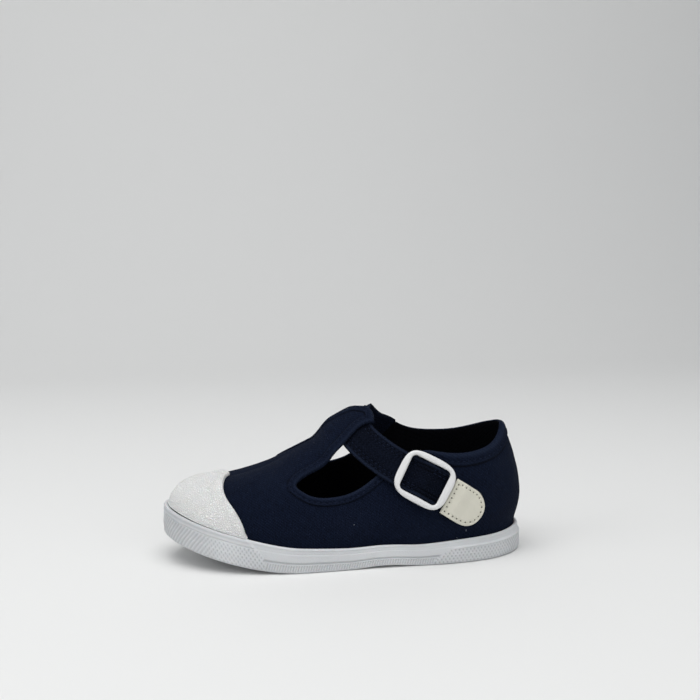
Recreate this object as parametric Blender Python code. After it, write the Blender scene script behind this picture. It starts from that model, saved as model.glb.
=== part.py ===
# Child's canvas shoe with a T-shaped strap, left foot.
# The frame has +X to the toe, +Y to the outer side of the foot and +Z up, with the floor at zero.
# Sizes are in millimetres, and every mesh is written in metres.
from collections import namedtuple

import bmesh
import bpy
import numpy as np
from mathutils import Vector
from mathutils.geometry import delaunay_2d_cdt

MM = 0.001

# Sole
SOLE_LENGTH = 165.0
SOLE_WIDTH = 61.0
SLAB = 6.0
RIM = 2.5
FOXING_HEIGHT = 10.0
TOE_SPRING = 12.0
ARCH_LIFT = 1.0
BALL_X = 24.0
HEEL_BREAST_X = -34.0
FOREFOOT_X = 5.0
SPRING_POWER = 1.6
BAND_HEIGHT = 4.0
GROOVE_DEPTH = 0.45
GROOVE_WIDTH = 0.5
PANEL_STEP = 0.6
EDGE_ROUND = 0.9
BEAD_HEIGHT = 3.0
BEAD_STEP = 0.5
LEAN = 0.5
STEP_SLOPE = 0.25
TREAD_DEPTH = 1.0
TREAD_WIDTH = 1.8
TREAD_PITCH = 5.5
TREAD_MARGIN = 6.0

# Upper
CANVAS = 1.7
GAP = 0.3
INSTEP_HEIGHT = 65.0
RIDGE_HEEL_IN = 32.0
RIDGE_TOE_IN = 25.0
RIDGE_REACH = 7.0
REACH_FROM = 0.6
SWELL = 3.7
SWELL_FROM = 0.055
SWELL_RUN = 0.13
HEM_WIDTH = 3.5
HEM_RISE = 0.5
HEM_SLOPE = 0.4

# Part of the crest that is kept as an edge
CREST_FROM = -5.0
CREST_TO = 66.0

# Toe cap
CAP_SKIN = 1.4
CAP_CORNER = 0.02
CAP_PITCH = 5.0

# Insole
INSOLE = 3.0

# Strap, loop, buckle and tab
STRAP_WIDTH = 16.0
STRAP = 1.6
STRAP_TIP = 0.9
STRAP_TAIL = 27.0
LOOP_SKIN = 0.9
LOOP_UNDER = 1.1
LOOP_SINK = 0.2
LOOP_CLEAR = 0.72
LOOP_REACH = 27.0
LOOP_FADE = 9.0
LOOP_LEAD = 1.4
LOOP_RAMP = 4.5
LOOP_WIDTH = 17.0
BUCKLE_AT = 45.0
BUCKLE_LENGTH = 24.6
BUCKLE_WIDTH = 22.0
BUCKLE_END_BAR = 3.3
BUCKLE_THICK = 2.2
BUCKLE_CORNER = 6.5
CENTRE_BAR = 1.1
CENTRE_BAR_WIDTH = 2.8
TAB_WIDTH = 18.2
TAB_LENGTH = 19.0
TAB_SKIN = 1.3
TAB_LAP = 4.0
TAB_RAMP = 1.8
TAB_CLEAR = 0.5
TAB_PITCH = 3.0

STATIONS = 48
EDGE_PITCH = 3.2
FACE_PITCH = 5.6
GRID_CLEAR = 0.55

# Outline of the sole seen from above: how far along from heel to toe, then shares of SOLE_WIDTH
OutlineRow = namedtuple("OutlineRow", "along axis lateral medial")
OUTLINE = [
    OutlineRow(0.0, 0.000, 0.000, 0.000),
    OutlineRow(0.1, 0.000, 0.180, 0.180),
    OutlineRow(0.2, 0.000, 0.338, 0.338),
    OutlineRow(0.3, 0.000, 0.425, 0.402),
    OutlineRow(0.4, 0.000, 0.452, 0.375),
    OutlineRow(0.5, -0.010, 0.482, 0.390),
    OutlineRow(0.6, -0.025, 0.525, 0.475),
    OutlineRow(0.7, -0.049, 0.500, 0.455),
    OutlineRow(0.8, -0.065, 0.390, 0.370),
    OutlineRow(0.9, -0.077, 0.212, 0.212),
    OutlineRow(1.0, -0.082, 0.000, 0.000),
]

# Foxing height above the bottom of the sole, as a share of FOXING_HEIGHT
RimRow = namedtuple("RimRow", "along height")
RIM_LINE = [
    RimRow(0.0, 1.26),
    RimRow(0.1, 1.21),
    RimRow(0.2, 1.12),
    RimRow(0.3, 1.05),
    RimRow(0.4, 0.92),
    RimRow(0.5, 0.95),
    RimRow(0.6, 1.10),
    RimRow(0.7, 1.28),
    RimRow(0.8, 1.32),
    RimRow(0.9, 1.33),
    RimRow(1.0, 1.35),
]

# Roundness of the sections of the last, and how far they swell over the foxing as a share of SWELL
LastRow = namedtuple("LastRow", "along power swell")
LAST = [
    LastRow(0.0, 2.25, 1.00),
    LastRow(0.3, 2.10, 0.56),
    LastRow(0.4, 1.95, 0.36),
    LastRow(0.5, 1.85, 0.26),
    LastRow(0.6, 1.95, 0.20),
    LastRow(0.7, 2.20, 0.10),
    LastRow(0.8, 2.38, 0.00),
    LastRow(0.9, 2.42, 0.00),
    LastRow(1.0, 2.43, 0.00),
]

# Crest of the last: x as a share of SOLE_LENGTH, y of SOLE_WIDTH, z of INSTEP_HEIGHT
RidgeRow = namedtuple("RidgeRow", "x y z")
RIDGE = [
    RidgeRow(-0.285, 0.000, 1.270),
    RidgeRow(-0.180, -0.040, 1.160),
    RidgeRow(-0.060, -0.065, 1.012),
    RidgeRow(0.006, -0.066, 0.934),
    RidgeRow(0.073, -0.066, 0.832),
    RidgeRow(0.127, -0.066, 0.754),
    RidgeRow(0.176, -0.066, 0.682),
    RidgeRow(0.255, -0.070, 0.598),
    RidgeRow(0.330, -0.076, 0.560),
    RidgeRow(0.380, -0.080, 0.555),
]

# Toplines on the last: share of the way from heel to toe, and share of the way from sole to crest
EdgeRow = namedtuple("EdgeRow", "along up")
LATERAL_EDGE = [
    EdgeRow(0.426, 0.735),
    EdgeRow(0.446, 0.745),
    EdgeRow(0.467, 0.722),
    EdgeRow(0.490, 0.676),
    EdgeRow(0.512, 0.635),
    EdgeRow(0.535, 0.602),
    EdgeRow(0.567, 0.572),
    EdgeRow(0.598, 0.540),
    EdgeRow(0.607, 0.500),
    EdgeRow(0.596, 0.450),
    EdgeRow(0.573, 0.392),
    EdgeRow(0.540, 0.360),
    EdgeRow(0.500, 0.356),
    EdgeRow(0.473, 0.377),
    EdgeRow(0.448, 0.412),
    EdgeRow(0.420, 0.448),
    EdgeRow(0.385, 0.474),
    EdgeRow(0.348, 0.474),
    EdgeRow(0.310, 0.434),
    EdgeRow(0.269, 0.402),
    EdgeRow(0.220, 0.391),
    EdgeRow(0.170, 0.398),
    EdgeRow(0.120, 0.424),
    EdgeRow(0.060, 0.458),
]
HEEL_TOP = 0.468
MEDIAL_COLLAR = [
    EdgeRow(0.060, 0.463),
    EdgeRow(0.115, 0.455),
    EdgeRow(0.165, 0.445),
    EdgeRow(0.227, 0.440),
    EdgeRow(0.277, 0.459),
    EdgeRow(0.323, 0.503),
    EdgeRow(0.360, 0.585),
    EdgeRow(0.378, 0.665),
]
MEDIAL_CUTOUT = [
    EdgeRow(0.440, 0.575),
    EdgeRow(0.455, 0.510),
    EdgeRow(0.476, 0.475),
    EdgeRow(0.505, 0.462),
    EdgeRow(0.545, 0.475),
    EdgeRow(0.585, 0.505),
    EdgeRow(0.613, 0.560),
    EdgeRow(0.628, 0.660),
    EdgeRow(0.622, 0.745),
    EdgeRow(0.598, 0.805),
    EdgeRow(0.565, 0.855),
    EdgeRow(0.531, 0.893),
    EdgeRow(0.500, 0.912),
    EdgeRow(0.470, 0.920),
    EdgeRow(0.446, 0.920),
]
# Fold at the end of the T-bar, from the inner to the outer side
BAR_END = [
    (1, EdgeRow(0.428, 0.985)),
    (1, EdgeRow(0.416, 0.920)),
    (1, EdgeRow(0.415, 0.827)),
]

# Middle of the strap on the last, with the side of the foot it runs on
PathRow = namedtuple("PathRow", "side along up")
STRAP_PATH = [
    PathRow(-1, 0.368, 0.400),
    PathRow(-1, 0.386, 0.500),
    PathRow(-1, 0.408, 0.620),
    PathRow(-1, 0.440, 0.820),
    PathRow(1, 0.464, 0.860),
    PathRow(1, 0.465, 0.670),
    PathRow(1, 0.442, 0.538),
    PathRow(1, 0.407, 0.424),
    PathRow(1, 0.362, 0.325),
    PathRow(1, 0.315, 0.232),
    PathRow(1, 0.262, 0.150),
    PathRow(1, 0.225, 0.110),
]
STRAP_KNOT = 4

# Rear edge of the toe cap, on each side up to the crest
CAP_EDGE = [
    EdgeRow(0.698, 0.060),
    EdgeRow(0.706, 0.179),
    EdgeRow(0.717, 0.257),
    EdgeRow(0.737, 0.358),
    EdgeRow(0.756, 0.441),
    EdgeRow(0.774, 0.536),
    EdgeRow(0.792, 0.654),
    EdgeRow(0.810, 0.780),
    EdgeRow(0.830, 0.900),
    EdgeRow(0.854, 1.000),
]

# One ring of the foxing: height share, inset from the outline, relief of the toe and the heel panel
RingRow = namedtuple("RingRow", "height inset toe heel")

# Ends of the ribbed panels on the foxing, at the floor and at the rim, as shares of SOLE_LENGTH
PanelRow = namedtuple("PanelRow", "low high bow")
TOE_PANEL = PanelRow(0.236, 0.285, 0.018)
HEEL_PANEL = PanelRow(-0.205, -0.320, 0.020)
HEEL_PANEL_TOP = 0.72


def spline(places, values):
    """Smooth curve through the rows of a table."""
    xs = np.asarray(places, float)
    ys = np.asarray(values, float)
    count = len(xs)
    step = np.diff(xs)
    matrix = np.zeros((count, count))
    right = np.zeros(ys.shape)
    matrix[0, 0] = matrix[-1, -1] = 1.0
    for i in range(1, count - 1):
        matrix[i, i - 1:i + 2] = step[i - 1], 2 * (step[i - 1] + step[i]), step[i]
        right[i] = 3 * ((ys[i + 1] - ys[i]) / step[i] - (ys[i] - ys[i - 1]) / step[i - 1])
    bend = np.linalg.solve(matrix, right)

    def value(place):
        place = np.clip(np.asarray(place, float), xs[0], xs[-1])
        i = np.clip(np.searchsorted(xs, place) - 1, 0, count - 2)
        d = place - xs[i]
        w = step[i]
        if ys.ndim > 1:
            d = d[..., None]
            w = w[..., None]
        slope = (ys[i + 1] - ys[i]) / w - w * (2 * bend[i] + bend[i + 1]) / 3
        return ys[i] + slope * d + bend[i] * d ** 2 + (bend[i + 1] - bend[i]) / (3 * w) * d ** 3

    return value


def column(table, place, value, place_size=1.0, size=1.0):
    """One column of a table as a curve, in real sizes."""
    return spline([getattr(row, place) * place_size for row in table],
                  [getattr(row, value) * size for row in table])


axis_at = column(OUTLINE, "along", "axis", size=SOLE_WIDTH)
lateral_at = column(OUTLINE, "along", "lateral", size=SOLE_WIDTH)
medial_at = column(OUTLINE, "along", "medial", size=SOLE_WIDTH)
rim_at = column(RIM_LINE, "along", "height", size=FOXING_HEIGHT)
power_at = column(LAST, "along", "power")
swell_at = column(LAST, "along", "swell", size=SWELL)
ridge_y = column(RIDGE, "x", "y", SOLE_LENGTH, SOLE_WIDTH)
ridge_z = column(RIDGE, "x", "z", SOLE_LENGTH, INSTEP_HEIGHT)

HALF = SOLE_LENGTH / 2
INSET = RIM + GAP
RIDGE_START = -HALF + INSET + RIDGE_HEEL_IN
RIDGE_STOP = HALF - INSET - RIDGE_TOE_IN


def bottom_z(x):
    """Height of the sole's underside: flat at heel and ball, lifted at arch and toe."""
    toe = np.clip((x - BALL_X) / (HALF - BALL_X), 0, 1)
    arch = np.clip((x - HEEL_BREAST_X) / (FOREFOOT_X - HEEL_BREAST_X), 0, 1)
    return TOE_SPRING * toe ** SPRING_POWER + ARCH_LIFT * np.sin(np.pi * arch) ** 2


def raw_outline(along, side, inset=0.0):
    turn = np.pi * along
    half = np.where(side > 0, lateral_at(along), medial_at(along)) - inset * np.sin(turn)
    return -(HALF - inset) * np.cos(turn), axis_at(along) + side * half, half


def arc_x(row, share):
    """Where a panel on the foxing ends, at a share of its height."""
    straight = row.low + (row.high - row.low) * share
    return (straight + np.sign(row.high - row.low) * -row.bow * np.sin(np.pi * share)) * SOLE_LENGTH


def outline_middle():
    """The y that halves the widest box of the foxing, with its raised panels."""
    along = np.linspace(0, 1, 401)
    x = raw_outline(along, np.ones(401))[0]
    share = BAND_HEIGHT / FOXING_HEIGHT
    raised = (x > arc_x(TOE_PANEL, share)) | (x < arc_x(HEEL_PANEL, share))
    inset = np.where(raised, 0.0, PANEL_STEP)
    lateral = raw_outline(along, np.ones(401), inset)[1].max()
    medial = raw_outline(along, -np.ones(401), inset)[1].min()
    return (lateral + medial) / 2


MIDDLE_Y = outline_middle()


def outline(along, side, inset=0.0):
    """Plan outline of the sole, moved in by an inset."""
    x, y, half = raw_outline(along, side, inset)
    return x, y - MIDDLE_Y, half


def crest_x(along):
    reach = np.clip((along - REACH_FROM) / (1 - REACH_FROM), 0, 1)
    swing = (RIDGE_STOP - RIDGE_START) / 2 * np.cos(np.pi * along)
    return (RIDGE_START + RIDGE_STOP) / 2 - swing + RIDGE_REACH * reach ** 2


def last(along, side, up):
    """Outer face of the canvas: from the sole's edge at up 0 to the crest at up 1."""
    xo, yo, _ = outline(along, side, INSET)
    zo = bottom_z(xo) + SLAB + GAP
    xr = crest_x(along)
    yr = ridge_y(xr) - MIDDLE_Y
    power = power_at(along)
    angle = np.clip(up, 0, 1) * np.pi / 2
    reach = np.cos(angle) ** (2 / power)
    climb = np.sin(angle) ** (2 / power)
    dx = xo - xr
    dy = yo - yr
    run = np.clip(up - SWELL_FROM, 0, 1) / SWELL_RUN
    swell = swell_at(along) * run * np.exp(1 - run)
    share = reach + swell / np.hypot(dx, dy)
    return np.stack([xr + dx * share, yr + dy * share, zo + (ridge_z(xr) - zo) * climb], -1)


# The last is laid flat on a pattern plane, stretched so that distances stay near the real ones
FLAT_LENGTH = 1.45
FLAT_WIDTH = 2.5


def flatten(side, along, up):
    xo, _, half = outline(along, side, INSET)
    xr = crest_x(along)
    return np.stack([xr + (FLAT_LENGTH * xo - xr) * (1 - up), side * FLAT_WIDTH * half * (1 - up)], -1)


def unflatten(flat):
    flat = np.asarray(flat, float)
    side = np.where(flat[..., 1] >= 0, 1.0, -1.0)
    far = np.maximum(np.abs(flat[..., 1]), 1e-7)
    low = np.zeros(far.shape)
    high = np.ones(far.shape)
    for _ in range(44):
        along = (low + high) / 2
        xo, _, half = outline(along, side, INSET)
        xr = crest_x(along)
        up = np.clip(1 - far / np.maximum(FLAT_WIDTH * half, 1e-9), 0, 1)
        short = xr + (FLAT_LENGTH * xo - xr) * (1 - up) < flat[..., 0]
        low = np.where(short, along, low)
        high = np.where(short, high, along)
    return along, side, up


def surface(flat):
    return last(*unflatten(flat))


def slopes(flat):
    """Directions of the last's surface along the two axes of the pattern plane."""
    small = 0.05
    ex = np.array([small, 0.0])
    ey = np.array([0.0, small])
    dx = (surface(flat + ex) - surface(flat - ex)) / (2 * small)
    dy = (surface(flat + ey) - surface(flat - ey)) / (2 * small)
    return dx, dy


def normals(flat):
    dx, dy = slopes(flat)
    out = np.cross(dx, dy)
    return out / np.linalg.norm(out, axis=-1, keepdims=True)


def place(flat, lift):
    """Points on the last raised by a lift along its normal."""
    flat = np.asarray(flat, float)
    lift = np.broadcast_to(np.asarray(lift, float), flat.shape[:-1])
    return surface(flat) + normals(flat) * lift[..., None]


def slide(flat, move, steps=4):
    """Pattern point reached by moving over the surface along a direction in space."""
    flat = np.array(flat, float)
    part = np.asarray(move, float) / steps
    for _ in range(steps):
        dx, dy = slopes(flat)
        a = np.sum(dx * dx, -1)
        b = np.sum(dx * dy, -1)
        c = np.sum(dy * dy, -1)
        p = np.sum(dx * part, -1)
        q = np.sum(dy * part, -1)
        det = a * c - b * b
        flat = flat + np.stack([(c * p - b * q) / det, (a * q - b * p) / det], -1)
    return flat


class Track:
    """A band that follows a path on the last: s along it, b across it, both real lengths."""

    def __init__(self, rows, zero_row):
        knots = np.array([flatten(np.float64(r.side), r.along, r.up) for r in rows])
        reach = np.r_[0, np.cumsum(np.linalg.norm(np.diff(surface(knots), axis=0), axis=1))]
        curve = spline(reach, knots)
        fine = np.linspace(0, reach[-1], 400)
        run = np.r_[0, np.cumsum(np.linalg.norm(np.diff(surface(curve(fine)), axis=0), axis=1))]
        self.zero = np.interp(reach[zero_row], fine, run)
        self.curve = curve
        self.fine = fine
        self.run = run

    def middle(self, s):
        return self.curve(np.interp(np.asarray(s, float) + self.zero, self.run, self.fine))

    def flat(self, s, b):
        s, b = np.broadcast_arrays(np.asarray(s, float), np.asarray(b, float))
        mid = self.middle(s)
        ahead = surface(self.middle(s + 0.5)) - surface(self.middle(s - 0.5))
        across = np.cross(normals(mid), ahead)
        across /= np.linalg.norm(across, axis=-1, keepdims=True)
        return slide(mid, across * b[..., None])

    def at(self, s, b, lift):
        return place(self.flat(s, b), lift)


def resample(points, pitch):
    """Points of a pattern line, spaced evenly in real length, with both ends kept."""
    points = np.asarray(points, float)
    reach = np.r_[0, np.cumsum(np.linalg.norm(np.diff(surface(points), axis=0), axis=1))]
    curve = spline(reach, points)
    fine = np.linspace(0, reach[-1], 12 * len(points))
    line = curve(fine)
    run = np.r_[0, np.cumsum(np.linalg.norm(np.diff(surface(line), axis=0), axis=1))]
    count = max(2, int(round(run[-1] / pitch)) + 1)
    return curve(np.interp(np.linspace(0, run[-1], count), run, fine))


def inward(loop, width, sign):
    """The loop moved over the surface to its left (sign 1) or right, by a real width."""
    ahead = surface(np.roll(loop, -1, 0)) - surface(loop)
    behind = surface(loop) - surface(np.roll(loop, 1, 0))
    ahead /= np.linalg.norm(ahead, axis=1, keepdims=True)
    behind /= np.linalg.norm(behind, axis=1, keepdims=True)
    along = ahead + behind
    along /= np.linalg.norm(along, axis=1, keepdims=True)
    mitre = np.clip(np.sum(along * ahead, 1), 0.6, 1)
    across = np.cross(normals(loop), along) * sign
    return slide(loop, across * (width / mitre)[:, None])


def inside(points, loop):
    """Which points lie inside a closed polygon."""
    x, y = points[:, 0:1], points[:, 1:2]
    x0, y0 = loop[:, 0], loop[:, 1]
    x1, y1 = np.roll(x0, -1), np.roll(y0, -1)
    crosses = (y0 > y) != (y1 > y)
    with np.errstate(divide="ignore", invalid="ignore"):
        at = x0 + (y - y0) / (y1 - y0) * (x1 - x0)
    return (np.sum(crosses & (x < at), axis=1) % 2) == 1


def near(points, loops, distance):
    lines = np.concatenate(loops)
    gap = np.min(np.linalg.norm(points[:, None] - lines[None], axis=2), axis=1)
    return gap < distance


def hex_grid(low, high, pitch):
    rows = []
    y_step = pitch * np.sqrt(3) / 2
    first = int(np.floor(low[1] / y_step))
    last_row = int(np.ceil(high[1] / y_step))
    for j in range(first, last_row + 1):
        shift = pitch / 2 if j % 2 else 0.0
        i = np.arange(np.floor(low[0] / pitch), np.ceil(high[0] / pitch) + 1)
        rows.append(np.stack([i * pitch + shift, np.full(len(i), j * y_step)], 1))
    return np.concatenate(rows)


def triangulate(outer, holes, lines, pitch, threads=()):
    """Triangles that fill a pattern region.

    outer and holes bound it; closed lines and open threads are kept as edges in it.
    """
    loops = [outer] + holes + lines
    threads = list(threads)
    grid = hex_grid(outer.min(0), outer.max(0), pitch)
    grid = grid[inside(grid, outer)]
    for hole in holes:
        grid = grid[~inside(grid, hole)]
    grid = grid[~near(grid, loops + threads, pitch * GRID_CLEAR)]
    points = np.concatenate(loops + threads + [grid])
    edges = []
    start = 0
    for loop in loops:
        count = len(loop)
        edges += [(start + i, start + (i + 1) % count) for i in range(count)]
        start += count
    for thread in threads:
        edges += [(start + i, start + i + 1) for i in range(len(thread) - 1)]
        start += len(thread)
    verts, _, faces, origin, _, _ = delaunay_2d_cdt([Vector(p) for p in points], edges, [], 0, 1e-6)
    flat = np.array([(v.x, v.y) for v in verts])
    source = np.array([o[0] if o else -1 for o in origin])
    middles = np.array([flat[list(f)].mean(0) for f in faces])
    keep = inside(middles, outer)
    for hole in holes:
        keep &= ~inside(middles, hole)
    triangles = []
    for face, wanted in zip(faces, keep):
        if not wanted:
            continue
        a, b, c = (flat[k] for k in face)
        turn = (b[0] - a[0]) * (c[1] - a[1]) - (b[1] - a[1]) * (c[0] - a[0])
        triangles.append(tuple(face) if turn > 0 else tuple(face)[::-1])
    return flat, source, triangles


def skin(flat, triangles, raise_outer, raise_inner, mapping):
    """Closed wall between two offsets of one pattern."""
    used = sorted({k for t in triangles for k in t})
    index = {k: i for i, k in enumerate(used)}
    flat = flat[used]
    count = len(used)
    points = np.concatenate([mapping(flat, raise_outer[used]), mapping(flat, raise_inner[used])])
    faces = []
    sides = {}
    for t in triangles:
        a, b, c = (index[k] for k in t)
        faces.append((a, b, c))
        faces.append((a + count, c + count, b + count))
        for edge in ((a, b), (b, c), (c, a)):
            sides[edge] = True
    for a, b in sides:
        if (b, a) not in sides:
            faces.append((b, a, a + count, b + count))
    return points, faces


def new_object(name, points, faces, material=None):
    """Object from points in millimetres."""
    mesh = bpy.data.meshes.new(name)
    mesh.from_pydata([tuple(float(v) * MM for v in p) for p in points], [], [tuple(f) for f in faces])
    mesh.validate()
    mesh.update()
    item = bpy.data.objects.new(name, mesh)
    bpy.context.scene.collection.objects.link(item)
    bm = bmesh.new()
    bm.from_mesh(mesh)
    bmesh.ops.recalc_face_normals(bm, faces=bm.faces)
    bm.to_mesh(mesh)
    bm.free()
    mesh.shade_smooth()
    mesh.set_sharp_from_angle(angle=np.radians(40))
    if material:
        mesh.materials.append(material)
    return item


def new_material(name, color, roughness):
    material = bpy.data.materials.new(name)
    material.use_nodes = True
    shader = material.node_tree.nodes["Principled BSDF"]
    shader.inputs["Base Color"].default_value = (*color, 1.0)
    shader.inputs["Roughness"].default_value = roughness
    shader.inputs["Metallic"].default_value = 0.0
    return material


def cutter(item):
    item.hide_render = True
    item.display_type = "WIRE"
    return item


def boolean(target, tool, operation):
    modifier = target.modifiers.new(operation.title(), "BOOLEAN")
    modifier.operation = operation
    modifier.object = tool
    modifier.solver = "EXACT"


def grid_solid(rows):
    """Closed solid from a stack of closed rings with equal point counts."""
    count = len(rows[0])
    points = np.concatenate(rows)
    faces = [tuple(range(count))[::-1]]
    for r in range(len(rows) - 1):
        for i in range(count):
            j = (i + 1) % count
            faces.append((r * count + i, r * count + j, (r + 1) * count + j, (r + 1) * count + i))
    top = (len(rows) - 1) * count
    faces.append(tuple(top + i for i in range(count)))
    return points, faces


def around():
    """Stations round the outline: lateral side heel to toe, then medial side toe to heel."""
    along = np.linspace(0, 1, STATIONS + 1)
    return np.r_[np.ones(STATIONS + 1), -np.ones(STATIONS - 1)], np.r_[along, along[-2:0:-1]]


def along_of(x):
    return np.arccos(np.clip(-x / HALF, -1, 1)) / np.pi


def foxing_stations():
    """Stations of the foxing, with a close pair at each panel end."""
    base = np.linspace(0, 1, STATIONS + 1)
    marks = []
    for row in (TOE_PANEL, HEEL_PANEL):
        mark = along_of(arc_x(row, 0.5))
        marks += [mark - 0.0012, mark + 0.0012]
    far = [b for b in base if min(abs(b - m) for m in marks) > 0.4 / STATIONS]
    return np.sort(np.r_[far, marks])


def bend_stations(along, share):
    """The stations shifted so that the pairs follow the panel's arc at this height."""
    bent = along.copy()
    for row in (TOE_PANEL, HEEL_PANEL):
        middle = along_of(arc_x(row, 0.5))
        here = along_of(arc_x(row, share))
        weight = np.clip(1 - (np.abs(along - middle) - 0.002) / 0.16, 0, 1)
        bent = bent + (here - middle) * weight
    return bent


def foxing_rings():
    """The wall of the foxing from the floor to the rim."""
    low = BAND_HEIGHT / FOXING_HEIGHT
    wide = GROOVE_WIDTH / FOXING_HEIGHT
    bead = 1 - BEAD_HEIGHT / (FOXING_HEIGHT * RIM_LINE[-1].height)
    step = PANEL_STEP
    deep = step + GROOVE_DEPTH
    slope = STEP_SLOPE / FOXING_HEIGHT
    return [
        RingRow(0.0, step + EDGE_ROUND, 0, 0),
        RingRow(EDGE_ROUND / FOXING_HEIGHT, step, step * 0.6, step * 0.6),
        RingRow(low - wide, step, step, step),
        RingRow(low - wide / 2, deep, deep, deep),
        RingRow(low + wide / 2, deep, deep, deep),
        RingRow(low + wide, step + LEAN * 0.2, step, step),
        RingRow(HEEL_PANEL_TOP - slope, step + LEAN * 0.4, step, step),
        RingRow(HEEL_PANEL_TOP + slope, step + LEAN * 0.5, step * 0.7, 0),
        RingRow(bead - slope, step + LEAN * 0.8, step * 0.6, 0),
        RingRow(bead + slope, step + LEAN * 0.8, BEAD_STEP + step * 0.6, 0),
        RingRow(1 - 2 * slope, step + LEAN, BEAD_STEP + step * 0.6, 0),
        RingRow(1.0, step + LEAN + BEAD_STEP * 0.6, BEAD_STEP + step * 0.4, 0),
    ]


def make_sole(material):
    base = foxing_stations()
    in_toe = base > along_of(arc_x(TOE_PANEL, 0.5))
    in_heel = base < along_of(arc_x(HEEL_PANEL, 0.5))

    def ring(along, row, rise=0.0):
        """Ring of the wall on both sides, raised out where a panel is."""
        inset = row.inset - row.toe * in_toe - row.heel * in_heel
        z = bottom_z(outline(along, 1.0, row.inset)[0]) + rim_at(along) * row.height + rise
        sides = []
        for side in (1.0, -1.0):
            x, y, _ = outline(along, side, inset)
            sides.append(np.stack([x, y, z], 1))
        return np.concatenate([sides[0], sides[1][-2:0:-1]])

    rings = [ring(bend_stations(base, row.height), row) for row in foxing_rings()]
    rings.append(ring(base, RingRow(1.0, RIM, 0, 0)))
    rings.append(ring(base, RingRow(0.0, RIM, 0, 0), SLAB))
    count = len(rings[0])
    points = np.concatenate(rings)
    faces = []
    for r in range(len(rings) - 1):
        for i in range(count):
            j = (i + 1) % count
            faces.append((r * count + i, r * count + j, (r + 1) * count + j, (r + 1) * count + i))
    for start, turn in ((0, -1), ((len(rings) - 1) * count, 1)):
        half = len(base) - 1
        faces.append((start, start + 1, start + count - 1)[::turn])
        for i in range(1, half - 1):
            faces.append((start + i, start + i + 1, start + count - i - 1, start + count - i)[::turn])
        faces.append((start + half - 1, start + half, start + half + 1)[::turn])
    sole = new_object("sole", points, faces, material)
    boolean(sole, make_tread(), "DIFFERENCE")
    return sole


def make_tread():
    """Cutter of slanted grooves under the heel and the forefoot."""
    points = []
    faces = []
    spans = ((-HALF + 2 * TREAD_MARGIN, HEEL_BREAST_X - TREAD_MARGIN), (BALL_X - 12.0, BALL_X + 34.0))
    for start, stop in spans:
        count = int((stop - start) / TREAD_PITCH)
        for k in range(count + 1):
            x = start + k * TREAD_PITCH
            along = along_of(x)
            ends = [outline(along, side, TREAD_MARGIN)[1] for side in (-1.0, 1.0)]
            skew = TREAD_PITCH * 0.4
            first = len(points)
            low = bottom_z(np.float64(x)) + TREAD_DEPTH
            for z in (-2.0, low):
                for px, py in ((x - skew, ends[0]), (x - skew + TREAD_WIDTH, ends[0]),
                               (x + skew + TREAD_WIDTH, ends[1]), (x + skew, ends[1])):
                    points.append((px, py, z))
            f = first
            faces += [(f, f + 3, f + 2, f + 1), (f + 4, f + 5, f + 6, f + 7)]
            faces += [(f + i, f + (i + 1) % 4, f + 4 + (i + 1) % 4, f + 4 + i) for i in range(4)]
    return cutter(new_object("tread_cutter", np.array(points), faces))


def flat_rows(side, rows):
    return np.array([flatten(np.float64(side), r.along, r.up) for r in rows])


def base_loop(up=0.0):
    """Pattern outline of the last at its lower edge."""
    side, along = around()
    return flatten(side, along, np.full(len(along), up))


def opening_loop():
    """The collar, the two cut-outs and the T-bar between them, as one line."""
    lateral = np.concatenate([flat_rows(1, LATERAL_EDGE), [flatten(np.float64(1), 0.0, HEEL_TOP)],
                              flat_rows(-1, MEDIAL_COLLAR)])
    medial = flat_rows(-1, MEDIAL_CUTOUT)
    ear = np.linspace(lateral[-1], medial[0], 5)
    fold = np.array([flatten(np.float64(side), row.along, row.up) for side, row in BAR_END])
    end = np.concatenate([medial[-1:], fold, lateral[:1]])
    return np.concatenate([resample(line, EDGE_PITCH)[:-1] for line in (lateral, ear, medial, end)])


def over_strap(strap, flat):
    """How far the T-bar is lifted by the strap that runs through its loop, at pattern points."""
    start = strap.at(0.0, 0.0, 0.0)
    across = strap.at(0.0, 1.0, 0.0) - start
    reach = surface(flat) - start
    b = reach @ across
    half = STRAP_WIDTH / 2
    ramp = np.clip((b + half + LOOP_LEAD + LOOP_RAMP) / LOOP_RAMP, 0, 1)
    ramp = ramp * ramp * (3 - 2 * ramp)
    fade = np.clip((LOOP_REACH - np.linalg.norm(reach, axis=1)) / LOOP_FADE, 0, 1)
    return ramp * fade * fade * (3 - 2 * fade)


def make_upper(material, strap):
    outer = base_loop()
    hole = opening_loop()
    band = base_loop(SWELL_FROM)
    sign = 1.0 if inside(inward(hole, 1.0, 1.0)[:1], hole)[0] else -1.0
    hem = inward(hole, HEM_WIDTH, -sign)
    foot = inward(hole, HEM_WIDTH + HEM_SLOPE, -sign)
    crest_run = np.arange(CREST_FROM, CREST_TO, EDGE_PITCH)
    crest = np.stack([crest_run, np.zeros(len(crest_run))], 1)
    flat, source, triangles = triangulate(outer, [hole], [hem, foot, band], FACE_PITCH, [crest])
    raised = np.zeros(len(flat))
    first = len(outer)
    is_hem = (source >= first) & (source < first + len(hole) + len(hem))
    raised[is_hem] = HEM_RISE
    ramp = over_strap(strap, flat)
    top = GAP + STRAP + LOOP_CLEAR + LOOP_SKIN
    wall = CANVAS + (LOOP_SKIN - CANVAS) * ramp
    points, faces = skin(flat, triangles, raised + top * ramp, top * ramp - wall, place)
    upper = new_object("upper", points, faces, material)
    loop = cutter(new_object("loop_strip", *loop_strip(strap)))
    boolean(upper, loop, "UNION")
    return upper


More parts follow.
